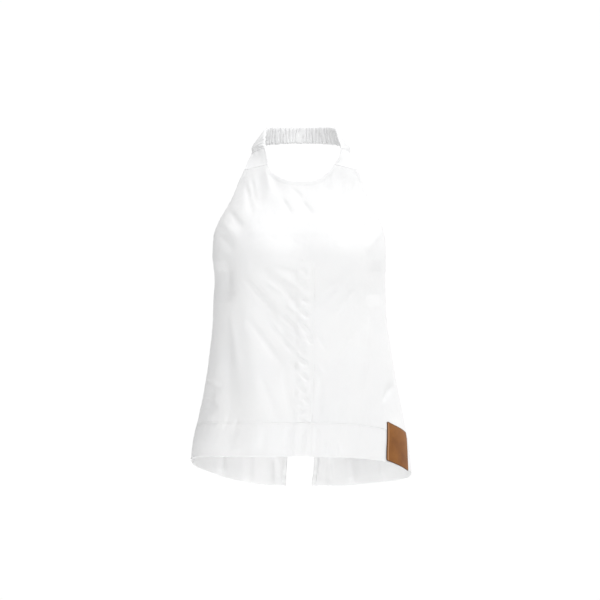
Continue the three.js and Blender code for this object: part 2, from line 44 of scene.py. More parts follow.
# Camera: level, straight in front of the top and a little to one side of its middle. The photo's
# frame is 1.05 m wide at the side seams, 3.5 m away.
VIEW_DISTANCE = 3.5
VIEW_WIDTH = 1.05
SIDE_SEAM_Y = -0.085
EYE = (-0.00175, SIDE_SEAM_Y - VIEW_DISTANCE, -0.2949)
SENSOR = 36.0
camera_data = bpy.data.cameras.new("camera")
camera_data.sensor_fit = "HORIZONTAL"
camera_data.sensor_width = SENSOR
camera_data.lens = SENSOR * VIEW_DISTANCE / VIEW_WIDTH
camera_data.clip_end = 50
camera = bpy.data.objects.new("camera", camera_data)
camera.location = EYE
camera.rotation_euler = (math.pi / 2, 0, 0)
bpy.context.scene.collection.objects.link(camera)
bpy.context.scene.camera = camera

# Front panel: one piece of white cotton poplin from side seam to side seam, cut to an A-line,
# with the neckline and armholes faced and topstitched. It hangs from two straps, full over the
# bust, with soft drag folds below it.
PANEL_WALL = 1.2
SEAM_GAP = 0.3
HEM_DEPTH = 57
UNDERARM_Z = -200
STRAP_NECK = (57, -61)
STRAP_SHOULDER = (98.2, -69.8)

# Sections of the worn top: height, half-width on the wearer's right and left, places in Y of
# the centre front, side seam and centre back, and the power of the oval
SECTION_COLUMNS = ("z", "right", "left", "front", "side", "back", "square")
SECTIONS = [
    (-40, 110, 109, -129, -85, 0, 2.5),
    (-60, 110, 109, -131, -85, 4, 2.5),
    (-81, 113, 111, -134, -85, 8, 2.5),
    (-102, 118, 116, -139, -85, 12, 2.45),
    (-123, 126, 123, -148, -85, 16, 2.4),
    (-143, 136, 132, -158, -85, 18, 2.35),
    (-164, 146, 141, -170, -85, 19, 2.3),
    (-185, 152, 146, -181, -85, 20, 2.3),
    (-220, 154, 147.5, -192, -85, 20, 2.25),
    (-258, 150.5, 147, -193, -85, 18, 2.2),
    (-300, 152.5, 147.5, -190, -85, 17, 2.15),
    (-350, 155, 152, -190, -85, 19, 2.1),
    (-411, 162, 162, -195, -84, 26, 2.1),
    (-458, 170, 170, -200, -83, 33, 2.1),
    (-505, 180, 180, -206, -82, 41, 2.1),
    (-542, 188.5, 187, -211, -82, 48, 2.1),
    (-598, 194.5, 193, -216, -82, 57, 2.1),
    (-650, 199, 198, -220, -82, 63, 2.1),
]

# Hem heights: turn is 0 at the centre front, 1 at a side seam and 2 at the centre back
HEM_COLUMNS = ("turn", "right", "left")
HEM = [
    (0, -559, -559),
    (0.35, -560, -562.5),
    (0.55, -561.5, -568.5),
    (0.75, -564, -582),
    (0.88, -569.5, -591),
    (1, -577, -599),
    (1.2, -592, -612),
    (1.4, -606, -620.5),
    (1.6, -621, -628),
    (1.8, -630, -632.5),
    (2, -633.5, -633.5),
]
NECKLINE_COLUMNS = ("x", "right", "left")
NECKLINE = [
    (0, -90, -90),
    (12, -89.7, -90.3),
    (24, -87.8, -89),
    (33, -84.5, -85.2),
    (41, -80.3, -79),
    (49, -75.2, -71.5),
    (54, -69.5, -65),
    (STRAP_NECK[0], STRAP_NECK[1], STRAP_NECK[1]),
]
ARMHOLE_COLUMNS = ("z", "share")
ARMHOLE = [
    (STRAP_SHOULDER[1], 0.889),
    (-81, 0.92),
    (-91, 0.945),
    (-112, 0.958),
    (-133, 0.972),
    (-154, 0.984),
    (-175, 0.992),
    (-188, 0.9965),
    (UNDERARM_Z, 1),
]

# Full places: on the back, x, z, width, height and how far they stand out
FULLNESS = [
    (False, -70, -218, 46, 52, 9),
    (False, 68, -218, 46, 52, 9),
    (True, -72, -225, 50, 60, 4),
    (True, 72, -225, 50, 60, 4),
]

# Main folds: on the back, start x and z, end x and z, width at each end, and how far they stand
# out (plus) or sink in (minus)
FOLDS = [
    (False, -131, -228, -133, -300, 13, 17, -6.5),
    (False, -72, -68, -71, -140, 7, 13, -2.6),
    (False, -56, -74, -32, -112, 8, 12, -2),
    (False, -74, -238, -6, -300, 12, 17, -4),
    (False, -78, -292, -8, -376, 14, 18, -4),
    (False, -97, -310, -46, -600, 20, 36, 6),
    (False, -128, -370, -112, -600, 12, 26, -5),
    (False, -154, -440, -163, -500, 8, 11, -3.5),
    (False, 126, -226, 127, -306, 14, 17, -5.5),
    (False, 70, -70, 66, -136, 7, 13, -2.4),
    (False, 80, -250, 18, -318, 12, 18, -3.2),
    (False, 92, -330, 64, -600, 20, 38, 5),
    (False, 118, -380, 122, -600, 14, 24, -4.5),
    (False, 152, -430, 166, -520, 10, 14, -3),
    (True, -92, -300, -120, -650, 20, 30, 7),
    (True, -48, -330, -66, -650, 16, 24, -6),
    (True, 90, -310, 122, -650, 20, 30, 7),
    (True, 50, -340, 70, -650, 16, 24, -5),
    (True, -132, -236, -84, -300, 12, 18, -3.5),
    (True, 128, -240, 84, -306, 12, 18, -3.5),
    (True, -152, -420, -166, -560, 12, 16, -4),
    (True, 150, -410, 166, -560, 12, 16, -4),
]

# Finer creases, in the same columns, which only the finished cloth has
CREASES = [
    (False, -127, -236, -124, -296, 7, 10, -1.8),
    (False, -44, -240, -6, -252, 6, 7, -2.7),
    (False, -30, -258, -4, -272, 4, 5, 2.1),
    (False, -34, -276, -8, -300, 5, 5, -2.7),
    (False, -26, -300, -6, -318, 4, 4, 2.3),
    (False, -36, -318, -8, -344, 5, 5, -3.1),
    (False, -28, -346, -6, -362, 4, 5, 2.7),
    (False, -30, -366, -10, -386, 4, 5, -2.3),
    (False, -22, -396, -8, -412, 4, 4, -1.8),
    (False, 28, -356, 44, -380, 4, 5, -1.7),
    (False, 26, -404, 40, -424, 4, 5, 1.7),
    (False, -33, -121, -16, -150, 4, 6, -2.1),
    (False, -14, -104, 2, -120, 3, 5, -1.7),
    (False, 2, -126, 20, -150, 4, 6, -1.8),
    (False, -95, -96, -84, -150, 4, 7, -2.3),
    (False, -86, -82, -80, -128, 3, 6, -1.8),
    (False, -60, -68, -52, -108, 4, 6, 1.8),
    (False, -124, -140, -98, -176, 5, 8, -2.5),
    (False, -134, -160, -104, -196, 5, 8, 2.1),
    (False, -140, -182, -112, -214, 5, 9, -2.3),
    (False, -92, -262, -40, -322, 5, 8, -2.9),
    (False, -60, -262, -18, -292, 4, 6, 2.5),
    (False, -88, -330, -30, -410, 6, 9, -3.1),
    (False, -52, -330, -12, -372, 4, 7, 2.3),
    (False, -118, -318, -104, -420, 6, 10, 2.9),
    (False, -70, -420, -40, -500, 7, 10, -2.5),
    (False, -30, -420, -16, -500, 5, 8, -2.1),
    (False, 52, -76, 40, -112, 4, 7, -2.1),
    (False, 92, -90, 82, -150, 4, 7, -2.3),
    (False, 126, -150, 98, -186, 5, 8, -2.5),
    (False, 134, -180, 106, -214, 5, 9, 2.3),
    (False, 96, -270, 48, -330, 5, 8, -2.9),
    (False, 62, -270, 30, -300, 4, 6, 2.1),
    (False, 92, -346, 44, -420, 6, 9, -2.7),
    (False, 114, -330, 104, -430, 6, 10, 2.7),
    (False, 78, -430, 58, -505, 7, 10, -2.5),
    (False, 34, -430, 28, -500, 5, 8, -2.1),
    (False, 140, -470, 160, -440, 4, 7, -2.9),
    (False, -168, -436, -134, -448, 4, 8, -1.8),
    (False, -170, -462, -140, -480, 4, 8, -1.9),
    (False, -172, -486, -150, -496, 4, 6, 1.5),
    (False, -22, -506, -24, -556, 5, 5, -2.3),
    (False, -12, -510, -9, -558, 4, 4, 2),
    (False, 3, -512, 0, -556, 4, 3, -1.8),
    (False, 12, -508, 9, -558, 3, 4, 2.1),
    (False, 27, -506, 24, -560, 4, 5, -2.5),
    (False, 44, -534, 46, -560, 3, 5, 1.6),
    (False, 62, -536, 65, -562, 3, 5, -1.8),
    (False, -60, -512, -66, -558, 6, 9, -1.8),
    (False, -104, -512, -114, -560, 7, 10, 1.2),
    (False, 100, -520, 108, -566, 7, 10, -1.8),
    (True, -20, -214, -34, -300, 6, 10, -2.9),
    (True, 22, -216, 30, -310, 6, 10, -2.5),
    (True, -110, -216, -96, -280, 5, 9, 2.5),
    (True, 112, -214, 96, -286, 5, 9, 2.5),
    (True, -70, -330, -88, -470, 7, 12, -3.4),
    (True, 74, -340, 92, -480, 7, 12, -3.1),
    (True, -24, -420, -36, -560, 6, 10, 3.4),
    (True, 22, -420, 32, -560, 6, 10, 3.4),
    (True, -138, -330, -126, -420, 6, 10, 2.7),
    (True, 138, -320, 128, -430, 6, 10, 2.7),
    (True, -92, -560, -96, -632, 5, 8, -3.8),
    (True, 90, -566, 96, -632, 5, 8, -3.8),
    (True, -48, -580, -46, -632, 4, 7, 2.9),
    (True, 52, -580, 50, -632, 4, 7, 2.9),
    (True, -140, -560, -144, -610, 5, 8, -3.4),
    (True, 146, -560, 148, -620, 5, 8, -3.4),
]


def read_table(rows, names, column, at):
    """Smooth value of a table's column at each place of its first column."""
    rows = sorted(rows)
    key = np.array([row[0] for row in rows], float)
    value = np.array([row[names.index(column)] for row in rows], float)
    rise = np.diff(value) / np.diff(key)
    slope = np.empty_like(value)
    slope[0], slope[-1] = rise[0], rise[-1]
    before, after = rise[:-1], rise[1:]
    both = np.where(before * after > 0, before + after, 1)
    slope[1:-1] = np.where(before * after > 0, 2 * before * after / both, 0)
    place = np.clip(np.asarray(at, float), key[0], key[-1])
    row = np.clip(np.searchsorted(key, place, side="right") - 1, 0, len(key) - 2)
    span = key[row + 1] - key[row]
    t = (place - key[row]) / span
    return (
        (2 * t**3 - 3 * t**2 + 1) * value[row]
        + (t**3 - 2 * t**2 + t) * slope[row] * span
        + (3 * t**2 - 2 * t**3) * value[row + 1]
        + (t**3 - t**2) * slope[row + 1] * span
    )


TURN_STEP = 0.005
HEIGHT_STEP = 2.0
TURNS = np.arange(-2, 2 + TURN_STEP / 2, TURN_STEP)
HEIGHTS = np.arange(-656, -39, HEIGHT_STEP)


def lay_out_form():
    """Middle of the cloth before its folds, a row for each height and a column for each turn."""
    shares = {
        name: read_table(SECTIONS, SECTION_COLUMNS, name, HEIGHTS)
        for name in SECTION_COLUMNS[1:]
    }
    form = np.zeros((len(HEIGHTS), len(TURNS), 3))
    lengths = np.zeros((len(HEIGHTS), 4))
    angle = np.linspace(0, math.pi / 2, 241)
    quarters = [(-1, True), (-1, False), (1, False), (1, True)]
    for row in range(len(HEIGHTS)):
        power = 2 / shares["square"][row]
        for number, (side, back) in enumerate(quarters):
            half = shares["right" if side < 0 else "left"][row]
            side_y = shares["side"][row]
            depth = shares["back" if back else "front"][row] - side_y
            x = side * half * np.sin(angle) ** power
            y = side_y + depth * np.clip(np.cos(angle), 0, 1) ** power
            run = np.concatenate([[0], np.cumsum(np.hypot(np.diff(x), np.diff(y)))])
            lengths[row, number] = run[-1]
            here = (TURNS * side >= 0) & ((abs(TURNS) > 1) == back)
            share = np.where(abs(TURNS) > 1, 2 - abs(TURNS), abs(TURNS))[here] * run[-1]
            form[row, here, 0] = np.interp(share, run, x)
            form[row, here, 1] = np.interp(share, run, y)
        form[row, :, 2] = HEIGHTS[row]
    across = np.gradient(form, axis=1)
    up = np.gradient(form, axis=0)
    out = np.cross(across, up)
    out /= np.linalg.norm(out, axis=2, keepdims=True)
    return form, out, lengths


FORM, OUT, QUARTER_LENGTHS = lay_out_form()


def between(grid, turn, z):
    """Value of a grid over the form at each turn and height."""
    column = np.clip((turn - TURNS[0]) / TURN_STEP, 0, len(TURNS) - 1.001)
    row = np.clip((z - HEIGHTS[0]) / HEIGHT_STEP, 0, len(HEIGHTS) - 1.001)
    c, r = column.astype(int), row.astype(int)
    s, t = (column - c)[..., None], (row - r)[..., None]
    low = grid[r, c] * (1 - s) + grid[r, c + 1] * s
    high = grid[r + 1, c] * (1 - s) + grid[r + 1, c + 1] * s
    return low * (1 - t) + high * t


def quarter_length(z, side, back):
    """Length along the section at z from the centre line to the side seam."""
    number = {(-1, True): 0, (-1, False): 1, (1, False): 2, (1, True): 3}[side, back]
    return np.interp(z, HEIGHTS, QUARTER_LENGTHS[:, number])


def fold_height(x, z, back, folds, bulges=()):
    """How far the cloth stands out of its form because of its folds and full places."""
    out = np.zeros(np.broadcast(x, z).shape)
    for on_back, at_x, at_z, across, along, height in bulges:
        here = height * np.exp(-(((x - at_x) / across) ** 2) - ((z - at_z) / along) ** 2)
        out += np.where(back == on_back, here, 0)
    for on_back, at_x, at_z, end_x, end_z, wide, end_wide, height in folds:
        run_x, run_z = end_x - at_x, end_z - at_z
        length = math.hypot(run_x, run_z)
        along = ((x - at_x) * run_x + (z - at_z) * run_z) / length**2
        t = np.clip(along, 0, 1)
        beyond = (along - t) * length
        across = ((x - at_x) * run_z - (z - at_z) * run_x) / length
        width = wide + (end_wide - wide) * t
        rise = np.minimum(1, 0.25 + 3 * t) * np.minimum(1, 0.25 + 3 * (1 - t))
        here = height * rise * np.exp(-((across / width) ** 2) - (beyond / width) ** 2)
        out += np.where(back == on_back, here, 0)
    return out


SIDE_BLEND = 0.12


def on_cloth(turn, z):
    """Middle of the draped cloth and the way out of it, at each turn and height."""
    turn, z = np.broadcast_arrays(np.asarray(turn, float), np.asarray(z, float))
    point = between(FORM, turn, z)
    normal = between(OUT, turn, z)
    normal /= np.linalg.norm(normal, axis=-1, keepdims=True)
    from_side = np.clip(abs(abs(turn) - 1) / SIDE_BLEND, 0, 1)
    fade = from_side**2 * (3 - 2 * from_side)
    back = abs(turn) > 1
    height = fold_height(point[..., 0], z, back, FOLDS, FULLNESS)
    fine = fold_height(point[..., 0], z, back, CREASES)
    return point + normal * ((fade * (height + fine))[..., None]), normal


def turn_at_x(x, z):
    """Turn at which the front's section at height z reaches x, for arrays of the same size."""
    x, z = np.broadcast_arrays(np.asarray(x, float), np.asarray(z, float))
    front = (TURNS >= -1) & (TURNS <= 1)
    row = np.clip(np.rint((z - HEIGHTS[0]) / HEIGHT_STEP).astype(int), 0, len(HEIGHTS) - 1)
    result = np.empty(x.shape)
    for place in np.ndindex(x.shape):
        result[place] = np.interp(x[place], FORM[row[place], front, 0], TURNS[front])
    return result


def hem_z(turn):
    """Height of the hem's lower edge at each turn."""
    turn = np.asarray(turn)
    right = read_table(HEM, HEM_COLUMNS, "right", abs(turn))
    left = read_table(HEM, HEM_COLUMNS, "left", abs(turn))
    return np.where(turn < 0, right, left)


def hem_seam_z(turn):
    """Height of the seam between a panel and its hem band."""
    return hem_z(turn) + HEM_DEPTH


def uneven(points, size, seed):
    """Smooth uneven heights from -1 to 1 at an array of points, with lumps of about one size."""
    flat = points.reshape(-1, 3) / size
    shift = Vector((seed * 7.3, seed * 3.1, seed * 5.7))
    values = [noise.noise(Vector(point) + shift) for point in flat]
    return np.array(values).reshape(points.shape[:-1])


def edge_runs(points):
    """Distances in the cloth from a grid's left, right, bottom and top edges."""
    across = np.linalg.norm(np.diff(points, axis=1), axis=2)
    up = np.linalg.norm(np.diff(points, axis=0), axis=2)
    left = np.concatenate([np.zeros((len(points), 1)), np.cumsum(across, axis=1)], axis=1)
    bottom = np.concatenate([np.zeros((1, points.shape[1])), np.cumsum(up, axis=0)], axis=0)
    return {
        "left": left,
        "right": left[:, -1:] - left,
        "bottom": bottom,
        "top": bottom[-1:] - bottom,
    }


# Topstitching: how far each row stands from its edge, and the groove that it pulls in the cloth
NECK_STITCH = 7.0
EDGE_STITCH = 8.0
SIDE_STITCH = 4.0
SEAM_STITCH = 3.0
BAND_STITCH = 2.5
HEM_STITCH = 4.0
SLIT_STITCH = 7.0
STITCH_GROOVE = 0.35
GROOVE_WIDTH = 1.3


def sewn_edge(distance, along, inset, pucker, seed, thick=0.3):
    """Height of a turned edge: a thicker border, a groove at its stitches and small puckers."""
    border = thick * np.clip((inset + 0.8 - distance) / 1.6, 0, 1)
    groove = STITCH_GROOVE * np.exp(-(((distance - inset) / GROOVE_WIDTH) ** 2))
    place = np.stack([along / 7.0, distance / 26.0, np.zeros_like(along)], axis=-1)
    pulls = uneven(place, 1.0, seed) * np.exp(-abs(distance - inset) / 9.0)
    return border - groove + pucker * pulls


def crumple(points, strength, seed):
    """Soft unevenness of worn, steamed cotton."""
    broad = uneven(points, 46.0, seed) * 1.3
    small = uneven(points * np.array([1.3, 1.3, 0.8]), 17.0, seed + 1) * 0.35
    return strength * (broad + small)


def lay_grid(places, threads):
    """Grid of faces over rows of places in metres, with the run of its threads as UV."""
    rows, columns = places.shape[0] - 1, places.shape[1] - 1
    sheet = bmesh.new()
    thread = sheet.loops.layers.uv.new("thread")
    bmesh.ops.create_grid(sheet, x_segments=columns, y_segments=rows, size=0.5)
    spots = {}
    for vertex in sheet.verts:
        column = round((vertex.co.x + 0.5) * columns)
        row = round((vertex.co.y + 0.5) * rows)
        spots[vertex] = (row, column)
    for face in sheet.faces:
        for loop in face.loops:
            loop[thread].uv = threads[spots[loop.vert]]
    for vertex, spot in spots.items():
        vertex.co = places[spot]
    return sheet, spots


def hang(name, shape, finish):
    """Object made of a bmesh, which is used up, in one material."""
    mesh = bpy.data.meshes.new(name)
    shape.to_mesh(mesh)
    shape.free()
    mesh.materials.append(finish)
    made = bpy.data.objects.new(name, mesh)
    bpy.context.scene.collection.objects.link(made)
    return made


# Every sheet's points, normals, relief and wall, by name, for the topstitching
SEWN = {}


def cloth_piece(name, points, normals, relief, wall, node, finish, smooth_rim=True):
    """Thin wall of cloth over a grid of points, in place of a node of the model."""
    SEWN[name] = (points, normals, relief, wall)
    from_left = edge_runs(points)["left"]
    middle = (points.shape[1] - 1) // 2
    threads = np.stack([from_left - from_left[:, middle:middle + 1], points[..., 2]], axis=-1)
    sheet, spots = lay_grid((points + normals * relief[..., None]) * MM, threads * MM)
    bmesh.ops.recalc_face_normals(sheet, faces=sheet.faces)
    sheet.normal_update()
    first = next(iter(sheet.verts))
    if first.normal.dot(Vector(normals[spots[first]])) < 0:
        bmesh.ops.reverse_faces(sheet, faces=sheet.faces)
    piece = hang(name, sheet, finish)
    piece.data.shade_smooth()
    wall_maker = piece.modifiers.new("wall", "SOLIDIFY")
    wall_maker.thickness = wall * MM
    wall_maker.offset = 0
    wall_maker.use_even_offset = False
    if smooth_rim:
        rim = piece.modifiers.new("turned edge", "BEVEL")
        rim.width = 0.35 * MM
        rim.segments = 2
        rim.limit_method = "ANGLE"
        rim.angle_limit = math.radians(60)
    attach(piece, "root")
    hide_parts(node)
    return piece


def noise_texture(nodes, scale, detail):
    """Noise texture of one scale and fineness."""
    texture = nodes.new("ShaderNodeTexNoise")
    texture.inputs["Scale"].default_value = scale
    texture.inputs["Detail"].default_value = detail
    return texture


def two_tones(nodes, links, share, low, high):
    """Colour between two, each given with the share at which it is full."""
    ramp = nodes.new("ShaderNodeValToRGB")
    for stop, (at, colour) in zip(ramp.color_ramp.elements, (low, high)):
        stop.position = at
        stop.color = (*colour, 1)
    links.new(share, ramp.inputs["Fac"])
    return ramp.outputs["Color"]


def bump(nodes, links, height, strength, distance):
    """Fine relief from a texture's height."""
    relief = nodes.new("ShaderNodeBump")
    relief.inputs["Strength"].default_value = strength
    relief.inputs["Distance"].default_value = distance
    links.new(height, relief.inputs["Height"])
    return relief


WEAVE_PITCH = 0.32
WAVE_SPAN = 0.314
SLUB_STRETCH = (1500, 180, 1)
SLUB_SHARE = 0.45


def cotton_finish(name, tint):
    """Crisp white cotton poplin: a fine plain weave, uneven threads and a soft matt sheen."""
    finish = bpy.data.materials.new(name)
    finish.use_nodes = True
    nodes, links = finish.node_tree.nodes, finish.node_tree.links
    shader = nodes["Principled BSDF"]
    shader.inputs["Roughness"].default_value = 0.82
    shader.inputs["Specular IOR Level"].default_value = 0.3
    shader.inputs["Sheen Weight"].default_value = 0.18
    shader.inputs["Sheen Roughness"].default_value = 0.45
    thread = nodes.new("ShaderNodeUVMap")
    thread.uv_map = "thread"
    place = nodes.new("ShaderNodeTexCoord")
    stretch = nodes.new("ShaderNodeMapping")
    stretch.inputs["Scale"].default_value = SLUB_STRETCH
    links.new(thread.outputs["UV"], stretch.inputs["Vector"])
    slub = noise_texture(nodes, 1.0, 3.0)
    links.new(stretch.outputs["Vector"], slub.inputs["Vector"])
    cloud = noise_texture(nodes, 14.0, 4.0)
    links.new(place.outputs["Object"], cloud.inputs["Vector"])
    share = nodes.new("ShaderNodeMath")
    share.operation = "MULTIPLY"
    share.inputs[1].default_value = 1 - SLUB_SHARE
    links.new(cloud.outputs["Fac"], share.inputs[0])
    mixed = nodes.new("ShaderNodeMath")
    mixed.operation = "MULTIPLY_ADD"
    mixed.inputs[1].default_value = SLUB_SHARE
    links.new(slub.outputs["Fac"], mixed.inputs[0])
    links.new(share.outputs["Value"], mixed.inputs[2])
    greyed = (tint[0] * 0.965, tint[1] * 0.968, tint[2] * 0.975)
    colour = two_tones(nodes, links, mixed.outputs["Value"], (0.3, greyed), (0.7, tint))
    links.new(colour, shader.inputs["Base Color"])
    waves = []
    for direction in ("X", "Y"):
        wave = nodes.new("ShaderNodeTexWave")
        wave.bands_direction = direction
        wave.inputs["Scale"].default_value = WAVE_SPAN / (WEAVE_PITCH * MM)
        wave.inputs["Distortion"].default_value = 0.6
        wave.inputs["Detail Scale"].default_value = 0.4
        links.new(thread.outputs["UV"], wave.inputs["Vector"])
        waves.append(wave)
    weave = nodes.new("ShaderNodeMath")
    weave.operation = "MULTIPLY"
    links.new(waves[0].outputs["Fac"], weave.inputs[0])
    links.new(waves[1].outputs["Fac"], weave.inputs[1])
    soft = noise_texture(nodes, 90.0, 5.0)
    soft.inputs["Roughness"].default_value = 0.55
    links.new(place.outputs["Object"], soft.inputs["Vector"])
    fine = bump(nodes, links, weave.outputs["Value"], 0.35, 0.00012)
    broad = bump(nodes, links, soft.outputs["Fac"], 0.35, 0.0012)
    links.new(fine.outputs["Normal"], broad.inputs["Normal"])
    links.new(broad.outputs["Normal"], shader.inputs["Normal"])
    return finish


POPLIN = cotton_finish("white_poplin", (0.87, 0.87, 0.87))
NECKLINE_SHARE = 0.68
SIDE_SEAM_SHARE = 0.71
FRONT_COLUMNS = 220
FRONT_ROWS = 184


def front_top_edge(side, share):
    """Turn and height along half of the front's top edge: neckline, then strap end."""
    on_neck = share <= NECKLINE_SHARE
    x = STRAP_NECK[0] * np.minimum(share / NECKLINE_SHARE, 1)
    name = "left" if side > 0 else "right"
    neck_z = read_table(NECKLINE, NECKLINE_COLUMNS, name, x)
    t = np.clip((share - NECKLINE_SHARE) / (1 - NECKLINE_SHARE), 0, 1)
    strap_z = STRAP_NECK[1] + (STRAP_SHOULDER[1] - STRAP_NECK[1]) * t
    half = read_table(SECTIONS, SECTION_COLUMNS, name, strap_z)
    right_half = read_table(SECTIONS, SECTION_COLUMNS, "right", strap_z)
    outer_x = STRAP_SHOULDER[0] * half / right_half
    strap_x = STRAP_NECK[0] + (outer_x - STRAP_NECK[0]) * t
    z = np.where(on_neck, neck_z, strap_z)
    return abs(turn_at_x(side * np.where(on_neck, x, strap_x), z)), z


def front_side_edge(side, share):
    """Turn and height up the front's side seam and on round the armhole."""
    bottom = float(hem_seam_z(side)) + SEAM_GAP / 2
    on_seam = share <= SIDE_SEAM_SHARE
    seam_z = bottom + (UNDERARM_Z - bottom) * np.minimum(share / SIDE_SEAM_SHARE, 1)
    t = np.clip((share - SIDE_SEAM_SHARE) / (1 - SIDE_SEAM_SHARE), 0, 1)
    arm_z = UNDERARM_Z + (STRAP_SHOULDER[1] - UNDERARM_Z) * t
    name = "left" if side > 0 else "right"
    half = read_table(SECTIONS, SECTION_COLUMNS, name, arm_z)
    x = half * np.minimum(read_table(ARMHOLE, ARMHOLE_COLUMNS, "share", arm_z), 1)
    arm_turn = np.where(t <= 0, 1, abs(turn_at_x(side * x, arm_z)))
    return np.where(on_seam, 1, arm_turn), np.where(on_seam, seam_z, arm_z)


def front_half(side, u, v):
    """Turn and height over half of the front, blended from its four edges."""
    u, v = u[None, :], v[:, None]
    top_turn, top_z = (edge[None, :] for edge in front_top_edge(side, u[0]))
    edge_turn, edge_z = (edge[:, None] for edge in front_side_edge(side, v[:, 0]))
    bottom_z = hem_seam_z(side * u) + SEAM_GAP / 2
    centre_low = float(hem_seam_z(0)) + SEAM_GAP / 2
    centre_high = NECKLINE[0][1]
    centre_z = centre_low + (centre_high - centre_low) * v
    corner_turn, corner_z = (float(edge[0]) for edge in front_top_edge(side, np.array([1.0])))
    turn = (1 - v) * u + v * top_turn + u * edge_turn - ((1 - v) * u + v * u * corner_turn)
    z = (1 - v) * bottom_z + v * top_z + (1 - u) * centre_z + u * edge_z
    z = z - (1 - u) * (1 - v) * centre_low - (1 - u) * v * centre_high
    z = z - u * (1 - v) * edge_z[0, 0] - u * v * corner_z
    return side * turn, z


# How much of a quarter turn a piece's edge stays clear of a seam on the side or centre line
SEAM_TURN = 0.0006
v_front = np.linspace(0, 1, FRONT_ROWS + 1)
u_front = np.linspace(0, 1, FRONT_COLUMNS // 2 + 1)
right_turn, right_z = (half[:, ::-1] for half in front_half(-1, u_front, v_front))
left_turn, left_z = front_half(1, u_front, v_front)
front_turn = np.concatenate([right_turn[:, :-1], left_turn], axis=1)
front_z = np.concatenate([right_z[:, :-1], left_z], axis=1)
front_turn = np.clip(front_turn, SEAM_TURN - 1, 1 - SEAM_TURN)
front_points, front_out = on_cloth(front_turn, front_z)
front_runs = edge_runs(front_points)
share_up = v_front[:, None]
share_out = abs(np.linspace(-1, 1, FRONT_COLUMNS + 1))[None, :]
nearest_side = np.minimum(front_runs["left"], front_runs["right"])
front_relief = crumple(front_points, 0.9, 1)
neck_fade = np.clip((NECKLINE_SHARE - share_out) / 0.03, 0, 1)
front_relief += neck_fade * sewn_edge(front_runs["top"], front_runs["left"], NECK_STITCH, 0.5, 3)
arm_fade = np.clip((share_up - SIDE_SEAM_SHARE) / 0.02, 0, 1)
front_relief += arm_fade * sewn_edge(nearest_side, front_runs["bottom"], EDGE_STITCH, 1.1, 4)
front_relief += (1 - arm_fade) * sewn_edge(
    nearest_side, front_runs["bottom"], SIDE_STITCH, 0.7, 5, 0)
front_relief += sewn_edge(front_runs["bottom"], front_runs["left"], SEAM_STITCH, 0.9, 6, 0.2)
front = cloth_piece("front_panel", front_points, front_out, front_relief, PANEL_WALL,
                    "front", POPLIN)

# Front hem: a deep band of the same poplin, folded double and sewn to the panel's lower edge
# in two halves, which meet under the placket.
HALF_HEM_STEPS = 110
HEM_ROWS = 30


def folded_edge(runs):
    """Height of the soft fold along a doubled band's lower edge."""
    return 0.25 * np.exp(-((runs["bottom"] / 2.2) ** 2))


def hem_relief(points):
    """Soft unevenness of the doubled band, pulled a little at its upper seam."""
    runs = edge_runs(points)
    relief = crumple(points, 0.9, 1)
    relief += sewn_edge(runs["top"], runs["left"], BAND_STITCH, 0.9, 6, 0.25)
    ends = np.minimum(runs["left"], runs["right"])
    relief += sewn_edge(ends, runs["bottom"], SIDE_STITCH, 0.6, 8, 0)
    return relief + folded_edge(runs)


for side, word in ((-1, "right"), (1, "left")):
    share = np.linspace(0, 1, HALF_HEM_STEPS + 1)
    share = share[::-1] if side < 0 else share
    share = np.clip(share, SEAM_TURN, 1 - SEAM_TURN)[None, :]
    bottom = hem_z(side * share)
    rise = np.linspace(0, 1, HEM_ROWS + 1)[:, None]
    hem_height = bottom + (HEM_DEPTH - SEAM_GAP / 2) * rise
    points, out = on_cloth(side * share + 0 * hem_height, hem_height)
    hem = cloth_piece(f"front_hem_band_{word}", points, out, hem_relief(points), PANEL_WALL,
                      f"front_hem_{word}", POPLIN)

# Placket: a folded strip of the poplin, topstitched down the centre front from a bar tack to the
# hem. Its stitching draws it up in puckers, and a piece of its own lies over the hem bands.
PLACKET_TOP_Z = -228
PLACKET_WIDTH = 32
PLACKET_LIFT = 1.5
PLACKET_WALL = 1.0
# Puckers in the strip, in the columns of the folds: slanting dimples, each with a raised place
# beside it
PUCKERS = [
    (False, -2, -244, 10, -250, 4, 4, -1.3),
    (False, 0, -258, 14, -262, 5, 5, 1.3),
    (False, -6, -268, 8, -276, 4, 4, -2.08),
    (False, -2, -284, 14, -288, 5, 5, 1.56),
    (False, 2, -294, 16, -301, 3.5, 4, -2.08),
    (False, -4, -301, 8, -306, 4, 5, 1.43),
    (False, -3, -311, 14, -325, 3.5, 4, -3.12),
    (False, -2, -322, 8, -331, 4, 5, 1.69),
    (False, -4, -332, 15, -352, 3.5, 4, -3.38),
    (False, -6, -346, 6, -360, 5, 5, 1.82),
    (False, 10, -356, 21, -370, 3.5, 3.5, -2.86),
    (False, 4, -364, 14, -376, 4, 5, 1.82),
    (False, -6, -376, 6, -386, 4, 4, -1.95),
    (False, -6, -393, 12, -407, 3.5, 4, -3.25),
    (False, -8, -403, 4, -415, 5, 5, 1.82),
    (False, -3, -418, 13, -430, 3.5, 4, -3.12),
    (False, -2, -428, 10, -438, 4, 4, 1.69),
    (False, -6, -438, 8, -452, 3.5, 4, -2.86),
    (False, -8, -450, 4, -462, 5, 5, 1.69),
    (False, 2, -458, 16, -470, 3.5, 4, -2.86),
    (False, -2, -468, 10, -478, 4, 5, 1.56),
    (False, -8, -476, 6, -486, 4, 4, -2.21),
    (False, 0, -486, 14, -491, 4, 5, 1.56),
    (False, -6, -492, 10, -501, 3.5, 4, -2.34),
]


def placket_centre_x(z):
    """Middle of the placket: 6 mm to the wearer's left above, drawn to the centre at the hem."""
    t = np.clip((-z - 400) / 160, 0, 1)
    return 6 - 6 * t**2 * (3 - 2 * t)


